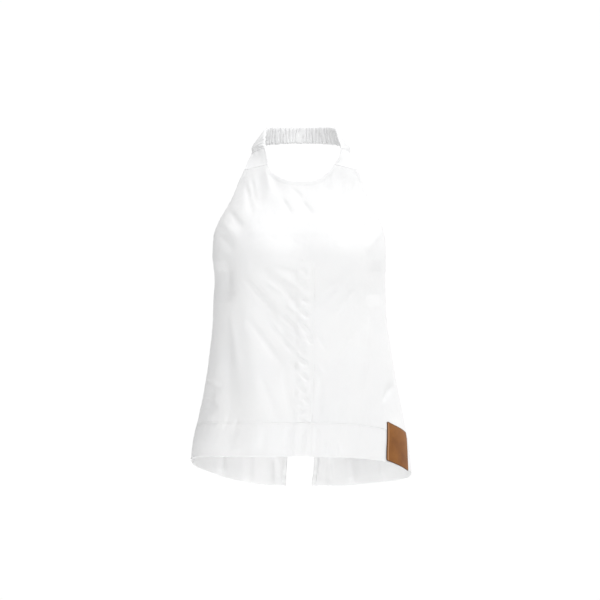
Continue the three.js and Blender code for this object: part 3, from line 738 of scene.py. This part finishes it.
def placket_strip(name, node, bottom_z, top_z, rows, puckered):
    """Strip over the centre front between two heights."""
    share = np.linspace(0, 1, 25)[None, :]
    z = bottom_z + (top_z - bottom_z) * np.linspace(0, 1, rows + 1)[:, None] + 0 * share
    x = placket_centre_x(z) + (share - 0.5) * PLACKET_WIDTH
    near = len(TURNS) // 2 + 20
    turn = x / np.interp(z, HEIGHTS, FORM[:, near, 0]) * TURNS[near]
    points, out = on_cloth(turn, z)
    runs = edge_runs(points)
    seam = runs["bottom"] if puckered else runs["top"]
    sunk = np.clip(1 - runs["left"] / 9, 0, 1) ** 1.5
    relief = PLACKET_LIFT + crumple(points, 0.9, 1) - 1.8 * sunk
    relief -= 0.8 * np.clip(1 - runs["right"] / 5, 0, 1) ** 1.5 * (0.6 + 0.4 * np.sin(z / 11))
    relief -= 0.9 * np.exp(-((seam / 2.5) ** 2))
    relief += 0.3 * np.exp(-(((runs["right"] - 1.5) / 1.8) ** 2))
    relief -= 0.5 * np.exp(-(((runs["right"] - 6) / 2.2) ** 2)) * (0.6 + 0.4 * np.sin(z / 5.5))
    if puckered:
        near_end = np.clip(runs["top"] / 14, 0, 1)
        relief = (relief + 0.2) * near_end - 0.2
        relief += fold_height(points[..., 0], z, False, PUCKERS) * near_end
    return cloth_piece(name, points, out, relief, PLACKET_WALL, node, POPLIN)


hem_seam_front = float(hem_seam_z(0))
placket = placket_strip("placket_strip", "placket", hem_seam_front + SEAM_GAP / 2,
                        PLACKET_TOP_Z, 170, True)
placket_end = placket_strip("placket_hem_end", "placket_hem", float(hem_z(0)),
                            hem_seam_front - SEAM_GAP / 2, 32, False)

# Back panels and hem: two pieces of the poplin joined by a centre back seam, which opens into a
# long slit towards the hem. Their top edge is turned under and topstitched at underarm level,
# and each has its half of the deep hem band.
SLIT_TOP_Z = -401
# Open slit: height, and how far its right and left edges stand from the centre line
SLIT_COLUMNS = ("z", "right", "left")
SLIT = [
    (SLIT_TOP_Z, SEAM_GAP / 2, SEAM_GAP / 2),
    (-450, 8, 8.5),
    (-500, 16.5, 17.5),
    (-545, 22.5, 23.5),
    (-581, 24.8, 24.3),
    (-633, 28, 19.5),
]
BACK_COLUMNS = 110
BACK_ROWS = 150


def slit_edge_x(side, z):
    """Place in X of one edge of the slit, or of the centre back seam above it."""
    name = "left" if side > 0 else "right"
    return side * read_table(SLIT, SLIT_COLUMNS, name, np.minimum(z, SLIT_TOP_Z))


def back_turn(side, share, z):
    """Turn on one half of the back, from the side seam to the centre back edge."""
    length = quarter_length(z, side, True)
    edge = 2 - side * slit_edge_x(side, z) / length
    start = 1 + SEAM_GAP / 2 / length
    return side * (start + (edge - start) * share)


def back_piece(side, name, node, rows, bottom_at, top_at, relief_at):
    """Half of the back between two heights, each given for a share of its width."""
    share = np.linspace(0, 1, BACK_COLUMNS + 1)
    share = (share[::-1] if side < 0 else share)[None, :]
    rise = np.linspace(0, 1, rows + 1)[:, None]
    bottom, top = bottom_at(side, share), top_at(side, share)
    z = bottom + (top - bottom) * rise
    points, out = on_cloth(back_turn(side, share, z), z)
    relief = relief_at(side, points, z)
    return cloth_piece(name, points, out, relief, PANEL_WALL, node, POPLIN)


def back_relief(side, points, z):
    """Turned top edge, centre back seam, slit edge, side seam and hem seam of a back panel."""
    runs = edge_runs(points)
    centre = runs["right"] if side > 0 else runs["left"]
    seam = runs["left"] if side > 0 else runs["right"]
    open_share = np.clip((SLIT_TOP_Z - z) / 10, 0, 1)
    relief = crumple(points, 0.9, 11)
    relief += sewn_edge(runs["top"], runs["left"], EDGE_STITCH, 0.8, 12)
    relief += (1 - open_share) * sewn_edge(centre, runs["bottom"], 3.5, 0.7, 13, 0)
    relief += open_share * sewn_edge(centre, runs["bottom"], SLIT_STITCH, 0.5, 14, 0.3)
    relief += sewn_edge(seam, runs["bottom"], SIDE_STITCH, 0.7, 5, 0)
    return relief + sewn_edge(runs["bottom"], runs["left"], SEAM_STITCH, 0.8, 15, 0.2)


def back_hem_relief(side, points, z):
    """Upper seam, slit edge and lower fold of the back's hem band."""
    runs = edge_runs(points)
    centre = runs["right"] if side > 0 else runs["left"]
    relief = crumple(points, 0.9, 11)
    relief += sewn_edge(runs["top"], runs["left"], BAND_STITCH, 0.8, 15, 0.25)
    relief += sewn_edge(centre, runs["bottom"], SLIT_STITCH, 0.5, 14, 0.3)
    return relief + folded_edge(runs)


for side, word in ((-1, "right"), (1, "left")):
    back = back_piece(
        side, f"back_panel_{word}", f"back_{word}", BACK_ROWS,
        lambda s, share: hem_seam_z(s * (1 + share)) + SEAM_GAP / 2,
        lambda s, share: UNDERARM_Z - 4 * np.sin(share * math.pi / 2),
        back_relief)
    back_hem = back_piece(
        side, f"back_hem_band_{word}", f"back_hem_{word}", HEM_ROWS,
        lambda s, share: hem_z(s * (1 + share)),
        lambda s, share: hem_seam_z(s * (1 + share)) - SEAM_GAP / 2,
        back_hem_relief)

# Slit edges: a narrow turning of the same poplin on the inside of each slit edge, caught by the
# topstitching outside. It is cut 10 mm wide, with 3 mm folded under.
SLIT_FACING = 7
FACING_WALL = 0.8
for side, word in ((-1, "right"), (1, "left")):
    z = np.linspace(float(hem_z(side * 2)) + 1, SLIT_TOP_Z + 6, 131)[:, None]
    inset = np.linspace(0, 1, 7)[None, :] * SLIT_FACING
    inset = inset[:, ::-1] if side > 0 else inset
    edge = side * slit_edge_x(side, z) + 0.4 + inset
    points, out = on_cloth(side * (2 - edge / quarter_length(z, side, True)), z + 0 * inset)
    up_edge = edge_runs(points)["bottom"]
    drawn = np.stack([up_edge / 5.5, inset / 20 + 0 * z, 0 * up_edge], axis=-1)
    relief = crumple(points, 0.9, 11) - (PANEL_WALL / 2 + SEAM_GAP + FACING_WALL / 2)
    relief += 1.1 * uneven(drawn, 1.0, 31)
    facing = cloth_piece(f"slit_turning_{word}", points, out, relief, FACING_WALL,
                         f"slit_hem_{word}", POPLIN, smooth_rim=False)

# Tabs: plain doubled straps of the poplin, about 40 mm wide, from the front panel up to the
# ruched band, with a row of stitches beside each edge.
BAND_WALL = 2.6
STRIP_CROWN = 1.6
SEAM_A = 2
TAB_WALL = 1.6
NAPE_HALF_HEIGHT = 15
# Strip on the wearer's right, from the middle of the tab round to the nape: neck edge x, its x
# on the other side, y, z, then shoulder edge x, y, z
STRAP = [
    (-58.5, 67, -121.5, -46, -92.5, -94.5, -53.5),
    (-61.5, 69.5, -111, -31, -86.5, -79, -38.5),
    (-62, 65.5, -89, -17, -86, -62, -31),
    (-61.5, 62, -58, 1, -84.5, -48, -27),
    (-57.5, 58, -30, 12, -64, -22, -20.5),
    (-35, 35, -8, 14.6, -37.5, -3.5, -16.5),
]
MIRROR = np.array([-1, 1, 1])


def strap_end(side, share):
    """Point on the front's top edge where an edge of the strap starts."""
    turn, z = front_top_edge(side, np.array([share]))
    return on_cloth(side * turn, z)[0][0]


def curve_through(stations, places):
    """Centripetal curve through stations, at places from 0 to 1 by station number."""
    stations = np.asarray(stations, float)
    before = 2 * stations[0] - stations[1]
    after = 2 * stations[-1] - stations[-2]
    line = np.vstack([before, stations, after])
    at = np.asarray(places, float) * (len(stations) - 1)
    number = np.clip(np.floor(at).astype(int), 0, len(stations) - 2)
    t = (at - number)[..., None]
    p0, p1, p2, p3 = (line[number + i] for i in range(4))
    d0, d1, d2 = (
        np.sqrt(np.linalg.norm(b - a, axis=-1, keepdims=True))
        for a, b in ((p0, p1), (p1, p2), (p2, p3))
    )
    slope1 = ((p1 - p0) / d0 - (p2 - p0) / (d0 + d1) + (p2 - p1) / d1) * d1
    slope2 = ((p2 - p1) / d1 - (p3 - p1) / (d1 + d2) + (p3 - p2) / d2) * d1
    return (
        p1 + slope1 * t
        + (-3 * p1 + 3 * p2 - 2 * slope1 - slope2) * t**2
        + (2 * p1 - 2 * p2 + slope1 + slope2) * t**3
    )


strap_rows = np.array(STRAP, float)
nape = np.array([0, BAND_WALL / 2, NAPE_HALF_HEIGHT])
NECK_EDGE = np.vstack([strap_end(-1, NECKLINE_SHARE), strap_rows[:, [0, 2, 3]], nape,
                       strap_rows[::-1, 1:4], strap_end(1, NECKLINE_SHARE)])
SHOULDER_EDGE = np.vstack([strap_end(-1, 1.0), strap_rows[:, 4:], nape * (1, 1, -1),
                           strap_rows[::-1, 4:] * MIRROR, strap_end(1, 1.0)])
STATIONS = len(NECK_EDGE) - 1


def on_strip(place, across):
    """Middle of the strap and the way out of it. across is 0 at the neck edge."""
    place, across = np.broadcast_arrays(np.asarray(place, float), np.asarray(across, float))

    def ruled(at):
        neck = curve_through(NECK_EDGE, np.clip(at, 0, 1))
        shoulder = curve_through(SHOULDER_EDGE, np.clip(at, 0, 1))
        return neck + (shoulder - neck) * across[..., None], shoulder - neck

    point, width = ruled(place)
    along = ruled(place + 0.001)[0] - ruled(place - 0.001)[0]
    out = np.cross(along, width)
    out /= np.linalg.norm(out, axis=-1, keepdims=True)
    ends = np.sin(np.pi * np.clip(place, 0, 1))
    crown = STRIP_CROWN * ends * 4 * across * (1 - across)
    return point + out * crown[..., None], out


strip_places = np.linspace(0, 1, 1201)
strip_middle = (curve_through(NECK_EDGE, strip_places)
                + curve_through(SHOULDER_EDGE, strip_places)) / 2
strip_runs = np.concatenate(
    [[0], np.cumsum(np.linalg.norm(np.diff(strip_middle, axis=0), axis=1))])
STRIP_LENGTH = strip_runs[-1]
BAND_START = np.interp(SEAM_A / STATIONS, strip_places, strip_runs)


def strip_place(run):
    """Place from 0 to 1 on the strip at each distance along its middle."""
    return np.interp(run, strip_runs, strip_places)


for side, word in ((-1, "right"), (1, "left")):
    run = np.linspace(SEAM_GAP, BAND_START - SEAM_GAP / 2, 33)[:, None]
    across = np.linspace(1, 0, 37)[None, :]
    if side > 0:
        run = STRIP_LENGTH - run
        across = across[:, ::-1]
    points, out = on_strip(strip_place(run) + 0 * across, across + 0 * run)
    runs = edge_runs(points)
    relief = crumple(points, 0.5, 21)
    edges = np.minimum(runs["left"], runs["right"])
    relief += sewn_edge(edges, runs["bottom"], SIDE_STITCH, 0.4, 22, 0.15)
    relief += sewn_edge(runs["top"], runs["left"], BAND_STITCH, 0.9, 23, 0.2)
    relief += sewn_edge(runs["bottom"], runs["left"], BAND_STITCH, 0.5, 24, 0.7)
    tab = cloth_piece(f"strap_tab_{word}", points, out, relief, TAB_WALL, f"tab_{word}",
                      POPLIN)

# Neckband: a casing of the same poplin, cut long and gathered over a flat elastic, so it
# ruches all round the nape. Its folds run across it, uneven, some leaning into the next. Its
# ends are sewn to the tabs.
GATHERS = 50
STEPS_A_GATHER = 14
AROUND_BAND = 40
FOLD_RISE = 3.0
NOTCH_DEPTH = 2.5
END_FADE = 7
band_start = BAND_START - SEAM_GAP
band_length = STRIP_LENGTH - 2 * band_start
band_pitch = band_length / GATHERS


def ruched_face(run, share, seed):
    """Depth below the fold tops on one face of the band: a sharp valley beside each fold."""
    chance = np.random.default_rng(seed)
    face = np.zeros(np.broadcast(run, share).shape)
    for number in range(GATHERS):
        place = band_start + (number + 0.5 + chance.uniform(-0.18, 0.18)) * band_pitch
        slant, bend = chance.uniform(-2.2, 2.2), chance.uniform(-0.8, 0.8)
        depth, width = chance.uniform(3.4, 4.4), chance.uniform(1.1, 1.6)
        stop = chance.uniform(0.3, 0.7)
        path = place + slant * (share - 0.5) + bend * np.sin(5 * share + number)
        fade = 1
        if number % 6 == 1:
            fade = np.clip((share - stop) / 0.2 + 0.3, 0, 1)
        elif number % 7 == 3:
            fade = np.clip((stop - share) / 0.2 + 0.3, 0, 1)
        face -= depth * fade * np.exp(-abs(run - path) / width)
    return face


columns = GATHERS * STEPS_A_GATHER
band_run = (band_start + band_length * np.linspace(0, 1, columns + 1))[None, :]
round_band = np.linspace(0, 2 * math.pi, AROUND_BAND + 1)[:, None]
outer_half = np.sin(round_band) >= 0
width_share = 0.5 - 0.5 * np.cos(round_band)
outside = ruched_face(band_run, width_share, 5)
inside = ruched_face(band_run, width_share, 12)
valleys = np.where(outer_half, outside, inside)
profile = (1 - abs(2 * width_share - 1) ** 7) ** 0.5
from_end = np.minimum(band_run - band_start, band_start + band_length - band_run)
gathered = np.clip(from_end / END_FADE, 0, 1) ** 0.7
relief = np.maximum(BAND_WALL / 2 - 0.1 + (FOLD_RISE + valleys) * gathered, 0.25) * profile
relief = np.where(outer_half, relief, -relief)
notches = np.maximum(np.minimum(outside, inside), -NOTCH_DEPTH)
scallop = 0.5 + (width_share - 0.5) * (1 + 0.03 * notches * gathered)
points, out = on_strip(strip_place(band_run) + 0 * width_share, scallop)
threads = np.stack(np.broadcast_arrays(band_run * 1.6, round_band * 12), axis=-1)
band, _ = lay_grid((points + out * relief[..., None]) * MM, threads * MM)
bmesh.ops.remove_doubles(band, verts=band.verts, dist=0.00002)
for face in band.faces:
    face.smooth = True
ends = [edge for edge in band.edges if edge.is_boundary]
bmesh.ops.holes_fill(band, edges=ends, sides=0)
bmesh.ops.recalc_face_normals(band, faces=band.faces)
RUCHED = cotton_finish("ruched_poplin", (0.86, 0.86, 0.86))
neckband = hang("ruched_neckband", band, RUCHED)
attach(neckband, "root")
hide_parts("neckband")

# Topstitching: white thread along every turned edge and seam, 2.7 mm from stitch to stitch,
# each stitch a short length of thread sunk in the cloth at both ends.
STITCH_PITCH = 2.7
STITCH_LENGTH = 2.1
THREAD_RADIUS = 0.22
THREAD = bpy.data.materials.new("white_thread")
THREAD.use_nodes = True
thread_shader = THREAD.node_tree.nodes["Principled BSDF"]
thread_shader.inputs["Base Color"].default_value = (0.8, 0.8, 0.8, 1)
thread_shader.inputs["Roughness"].default_value = 0.55
thread_shader.inputs["Sheen Weight"].default_value = 0.2


def thread_along(name, lines):
    """Rows of stitches along lines of points and normals, joined in one mesh."""
    sewing = bmesh.new()
    for line, normals in lines:
        run = np.concatenate([[0], np.cumsum(np.linalg.norm(np.diff(line, axis=0), axis=1))])
        for start in np.arange(1.0, run[-1] - STITCH_LENGTH, STITCH_PITCH):
            ends = [
                np.array([np.interp(at, run, line[:, axis]) for axis in range(3)])
                for at in (start, start + STITCH_LENGTH)
            ]
            out = np.array([np.interp(start, run, normals[:, axis]) for axis in range(3)])
            along = Vector(ends[1] - ends[0]).normalized()
            out = Vector(out).normalized()
            aside = out.cross(along).normalized()
            turn = Matrix((along, aside, along.cross(aside))).transposed().to_4x4()
            middle = Matrix.Translation(Vector((ends[0] + ends[1]) / 2) * MM)
            size = Matrix.Diagonal((STITCH_LENGTH / 2 * MM, THREAD_RADIUS * MM,
                                    THREAD_RADIUS * MM, 1))
            bmesh.ops.create_icosphere(sewing, subdivisions=1, radius=1,
                                       matrix=middle @ turn @ size)
    row = hang(name, sewing, THREAD)
    row.data.shade_smooth()
    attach(row, "root")


def seam_line(name, edge, inset, first=0.0, last=1.0):
    """Line on a piece's outer face at one distance from an edge, over a share of its length."""
    points, normals, relief, wall = SEWN[name]
    distance = edge_runs(points)[edge]
    face = points + normals * (relief + wall / 2)[..., None]
    if edge in ("left", "right"):
        distance, face, normals = distance.T, face.swapaxes(0, 1), normals.swapaxes(0, 1)
    order = slice(None) if edge in ("bottom", "left") else slice(None, None, -1)
    distance, face, normals = distance[order], face[order], normals[order]
    count = face.shape[1]
    line, ways = [], []
    for number in range(int(first * (count - 1)), int(last * (count - 1)) + 1):
        along = distance[:, number]
        line.append([np.interp(inset, along, face[:, number, axis]) for axis in range(3)])
        ways.append([np.interp(inset, along, normals[:, number, axis]) for axis in range(3)])
    return np.array(line), np.array(ways)


# Bar tack at the placket's top end: close short rows on the front panel, so far above its
# lower edge and over this share of its width
TACK_HEIGHT = 274
TACK_ROWS = 8
TACK_SPAN = (0.5, 0.514)
front_lines = [
    seam_line("front_panel", "top", NECK_STITCH, 0.17, 0.83),
    seam_line("front_panel", "left", EDGE_STITCH, SIDE_SEAM_SHARE + 0.01, 0.97),
    seam_line("front_panel", "right", EDGE_STITCH, SIDE_SEAM_SHARE + 0.01, 0.97),
    seam_line("front_panel", "bottom", SEAM_STITCH),
    seam_line("placket_strip", "right", SEAM_STITCH, 0, 0.95),
    seam_line("placket_hem_end", "right", SEAM_STITCH),
]
for row in range(TACK_ROWS):
    front_lines.append(seam_line("front_panel", "bottom", TACK_HEIGHT + 0.5 * row, *TACK_SPAN))
back_lines = []
tab_lines = []
for word, centre in (("right", "left"), ("left", "right")):
    front_hem, panel, band_name = (
        f"front_hem_band_{word}", f"back_panel_{word}", f"back_hem_band_{word}")
    front_lines += [
        seam_line(front_hem, "top", BAND_STITCH),
        seam_line(front_hem, "bottom", HEM_STITCH),
    ]
    back_lines += [
        seam_line(panel, "top", EDGE_STITCH),
        seam_line(panel, "bottom", SEAM_STITCH),
        seam_line(panel, centre, SLIT_STITCH, 0, 0.52),
        seam_line(band_name, "top", BAND_STITCH),
        seam_line(band_name, "bottom", HEM_STITCH),
        seam_line(band_name, centre, SLIT_STITCH),
    ]
    for edge, inset in (("left", SIDE_STITCH), ("right", SIDE_STITCH),
                        ("top", BAND_STITCH), ("bottom", BAND_STITCH)):
        tab_lines.append(seam_line(f"strap_tab_{word}", edge, inset))
thread_along("front_stitching", front_lines)
thread_along("back_stitching", back_lines)
thread_along("tab_stitching", tab_lines)

# Leather patch: a plain 65 mm square of smooth tan leather with burnished edges and a rolled
# ridge near its front edge, which carries a painted highlight, fixed to the hem just ahead of the
# left side seam.
LEATHER_WALL = 1.7
PATCH_SIDE = 65.5
PATCH_X = 168
PATCH_Z = -547
PATCH_SLOPE = math.radians(20)
PATCH_LEAN = math.radians(3.5)
PATCH_LIFT = 1.9
CORNER = 2.5
RIDGE_INSET = 2.8
RIDGE_WIDTH = 0.65
steps = np.linspace(-0.5, 0.5, 67) * PATCH_SIDE
across, up = np.meshgrid(steps, steps)
inner = PATCH_SIDE / 2 - CORNER
past_x = np.clip(abs(across) - inner, 0, None)
past_y = np.clip(abs(up) - inner, 0, None)
in_corner = (past_x > 0) & (past_y > 0)
pull = np.maximum(past_x, past_y) / np.maximum(np.hypot(past_x, past_y), 1e-9)
across = np.where(in_corner, np.sign(across) * (inner + past_x * pull), across)
up = np.where(in_corner, np.sign(up) * (inner + past_y * pull), up)
patch_turn = float(turn_at_x(np.array([PATCH_X]), np.array([PATCH_Z]))[0])
run = (patch_turn * float(quarter_length(PATCH_Z, 1, False)) + across * math.cos(PATCH_SLOPE)
       + up * math.sin(PATCH_LEAN))
z = PATCH_Z - across * math.sin(PATCH_SLOPE) + up * math.cos(PATCH_LEAN)
points, out = on_cloth(run / quarter_length(z, 1, False), z)
runs = edge_runs(points)
edge = np.minimum(np.minimum(runs["left"], runs["right"]), np.minimum(runs["top"], runs["bottom"]))
rolled = np.exp(-(((runs["left"] - RIDGE_INSET) / RIDGE_WIDTH) ** 2))
rolled *= np.clip(runs["top"] / 3, 0, 1)
relief = PATCH_LIFT + crumple(points, 0.9, 1) * 0.6
relief -= 0.5 * np.exp(-((edge / 1.3) ** 2))
relief -= 0.28 * np.exp(-(((edge - 3.2) / 0.8) ** 2))
relief += 0.5 * rolled
leather = bpy.data.materials.new("tan_leather")
leather.use_nodes = True
nodes, links = leather.node_tree.nodes, leather.node_tree.links
shader = nodes["Principled BSDF"]
shader.inputs["Roughness"].default_value = 0.5
shader.inputs["Specular IOR Level"].default_value = 0.25
place = nodes.new("ShaderNodeTexCoord")
mottle = noise_texture(nodes, 38.0, 6.0)
links.new(place.outputs["Object"], mottle.inputs["Vector"])
colour = two_tones(nodes, links, mottle.outputs["Fac"],
                   (0.3, (0.2, 0.069, 0.012)), (0.72, (0.3, 0.115, 0.021)))
# Colour marks: a painted highlight in lighter tan along the rolled ridge, and the burnished edges'
# own dark brown.
for mark_name, mark_colour in (("painted_ridge_highlight", (0.62, 0.35, 0.19, 1)), ("edge", (0.085, 0.038, 0.018, 1))):
    mark = nodes.new("ShaderNodeAttribute")
    mark.attribute_name = mark_name
    burnish_and_painted_highlight = nodes.new("ShaderNodeMix")
    burnish_and_painted_highlight.data_type = "RGBA"
    burnish_and_painted_highlight.inputs["B"].default_value = mark_colour
    links.new(mark.outputs["Fac"], burnish_and_painted_highlight.inputs["Factor"])
    links.new(colour, burnish_and_painted_highlight.inputs["A"])
    colour = burnish_and_painted_highlight.outputs["Result"]
links.new(colour, shader.inputs["Base Color"])
grain = nodes.new("ShaderNodeTexVoronoi")
grain.feature = "DISTANCE_TO_EDGE"
grain.inputs["Scale"].default_value = 900.0
links.new(place.outputs["Object"], grain.inputs["Vector"])
pores = bump(nodes, links, grain.outputs["Distance"], 0.3, 0.0002)
wear = bump(nodes, links, mottle.outputs["Fac"], 0.25, 0.0006)
links.new(pores.outputs["Normal"], wear.inputs["Normal"])
links.new(wear.outputs["Normal"], shader.inputs["Normal"])
patch = cloth_piece("leather_patch_bare", points, out, relief, LEATHER_WALL, "leather_patch",
                    leather)
face = ((points + out * relief[..., None]) * MM).reshape(-1, 3)
finder = kdtree.KDTree(len(face))
for index, spot in enumerate(face):
    finder.insert(spot, index)
finder.balance()
# Masks of the marks: the dark burnished edges all round, and the painted highlight on the rolled
# ridge.
for name, values in (("edge", np.clip(1.15 - edge / 1.7, 0, 1)), ("painted_ridge_highlight", 0.75 * rolled)):
    mark = patch.data.attributes.new(name, "FLOAT", "POINT")
    for index, vertex in enumerate(patch.data.vertices):
        mark.data[index].value = float(values.flat[finder.find(vertex.co)[1]])

# Studio: a room that is bright on the wearer's left and behind the top, and dimmer on the
# camera's side. Soft lights stand on that left, above and in front, a small one lights the inside
# of the neckband, and a low one gives back what a white floor close under the top would. The
# floor is plain and pale.
world = bpy.data.worlds.new("studio")
world.use_nodes = True
room, room_links = world.node_tree.nodes, world.node_tree.links
way = room.new("ShaderNodeTexCoord")
to_backdrop = room.new("ShaderNodeVectorMath")
to_backdrop.operation = "DOT_PRODUCT"
to_backdrop.inputs[1].default_value = (0.82, 0.52, 0.1)
room_links.new(way.outputs["Generated"], to_backdrop.inputs[0])
backdrop = room.new("ShaderNodeMapRange")
backdrop.interpolation_type = "SMOOTHSTEP"
backdrop.inputs["From Min"].default_value = -0.75
backdrop.inputs["From Max"].default_value = 0.42
backdrop.inputs["To Min"].default_value = 0.32
backdrop.inputs["To Max"].default_value = 1.02
room_links.new(to_backdrop.outputs["Value"], backdrop.inputs["Value"])
room_links.new(backdrop.outputs["Result"], room["Background"].inputs["Strength"])
room["Background"].inputs["Color"].default_value = (1, 1, 1, 1)
bpy.context.scene.world = world
bpy.context.scene.view_settings.view_transform = "Standard"
FLOOR_Z = -1.43


def soft_light(name, place, aim, size, power):
    """Square area light at a place, turned to its aim."""
    data = bpy.data.lights.new(name, "AREA")
    data.shape = "SQUARE"
    data.size = size
    data.energy = power
    light = bpy.data.objects.new(name, data)
    light.location = place
    light.rotation_euler = (Vector(aim) - Vector(place)).to_track_quat("-Z", "Y").to_euler()
    light.visible_camera = False
    bpy.context.scene.collection.objects.link(light)


soft_light("key", (2.5, -1.3, 0.9), (0, -0.1, -0.3), 0.9, 11)
soft_light("top", (0.3, -1.2, 1.8), (0, -0.1, -0.3), 0.7, 15)
soft_light("front", (-1.2, -2.7, 0.2), (0, -0.1, -0.4), 1.0, 14)
soft_light("neck", (-0.45, -0.5, 0.2), (0.06, -0.02, 0.02), 0.25, 0.8)
soft_light("floor bounce", (-0.32, -0.5, -1.25), (-0.02, 0.0, -0.58), 0.5, 4.3)
pale = bpy.data.materials.new("pale_floor")
pale.use_nodes = True
pale.node_tree.nodes["Principled BSDF"].inputs["Base Color"].default_value = (0.8, 0.8, 0.79, 1)
pale.node_tree.nodes["Principled BSDF"].inputs["Roughness"].default_value = 0.9
disc = bmesh.new()
bmesh.ops.create_circle(disc, cap_ends=True, segments=64, radius=1.6)
bmesh.ops.translate(disc, verts=disc.verts, vec=(0, -0.1, FLOOR_Z))
floor = hang("floor", disc, pale)
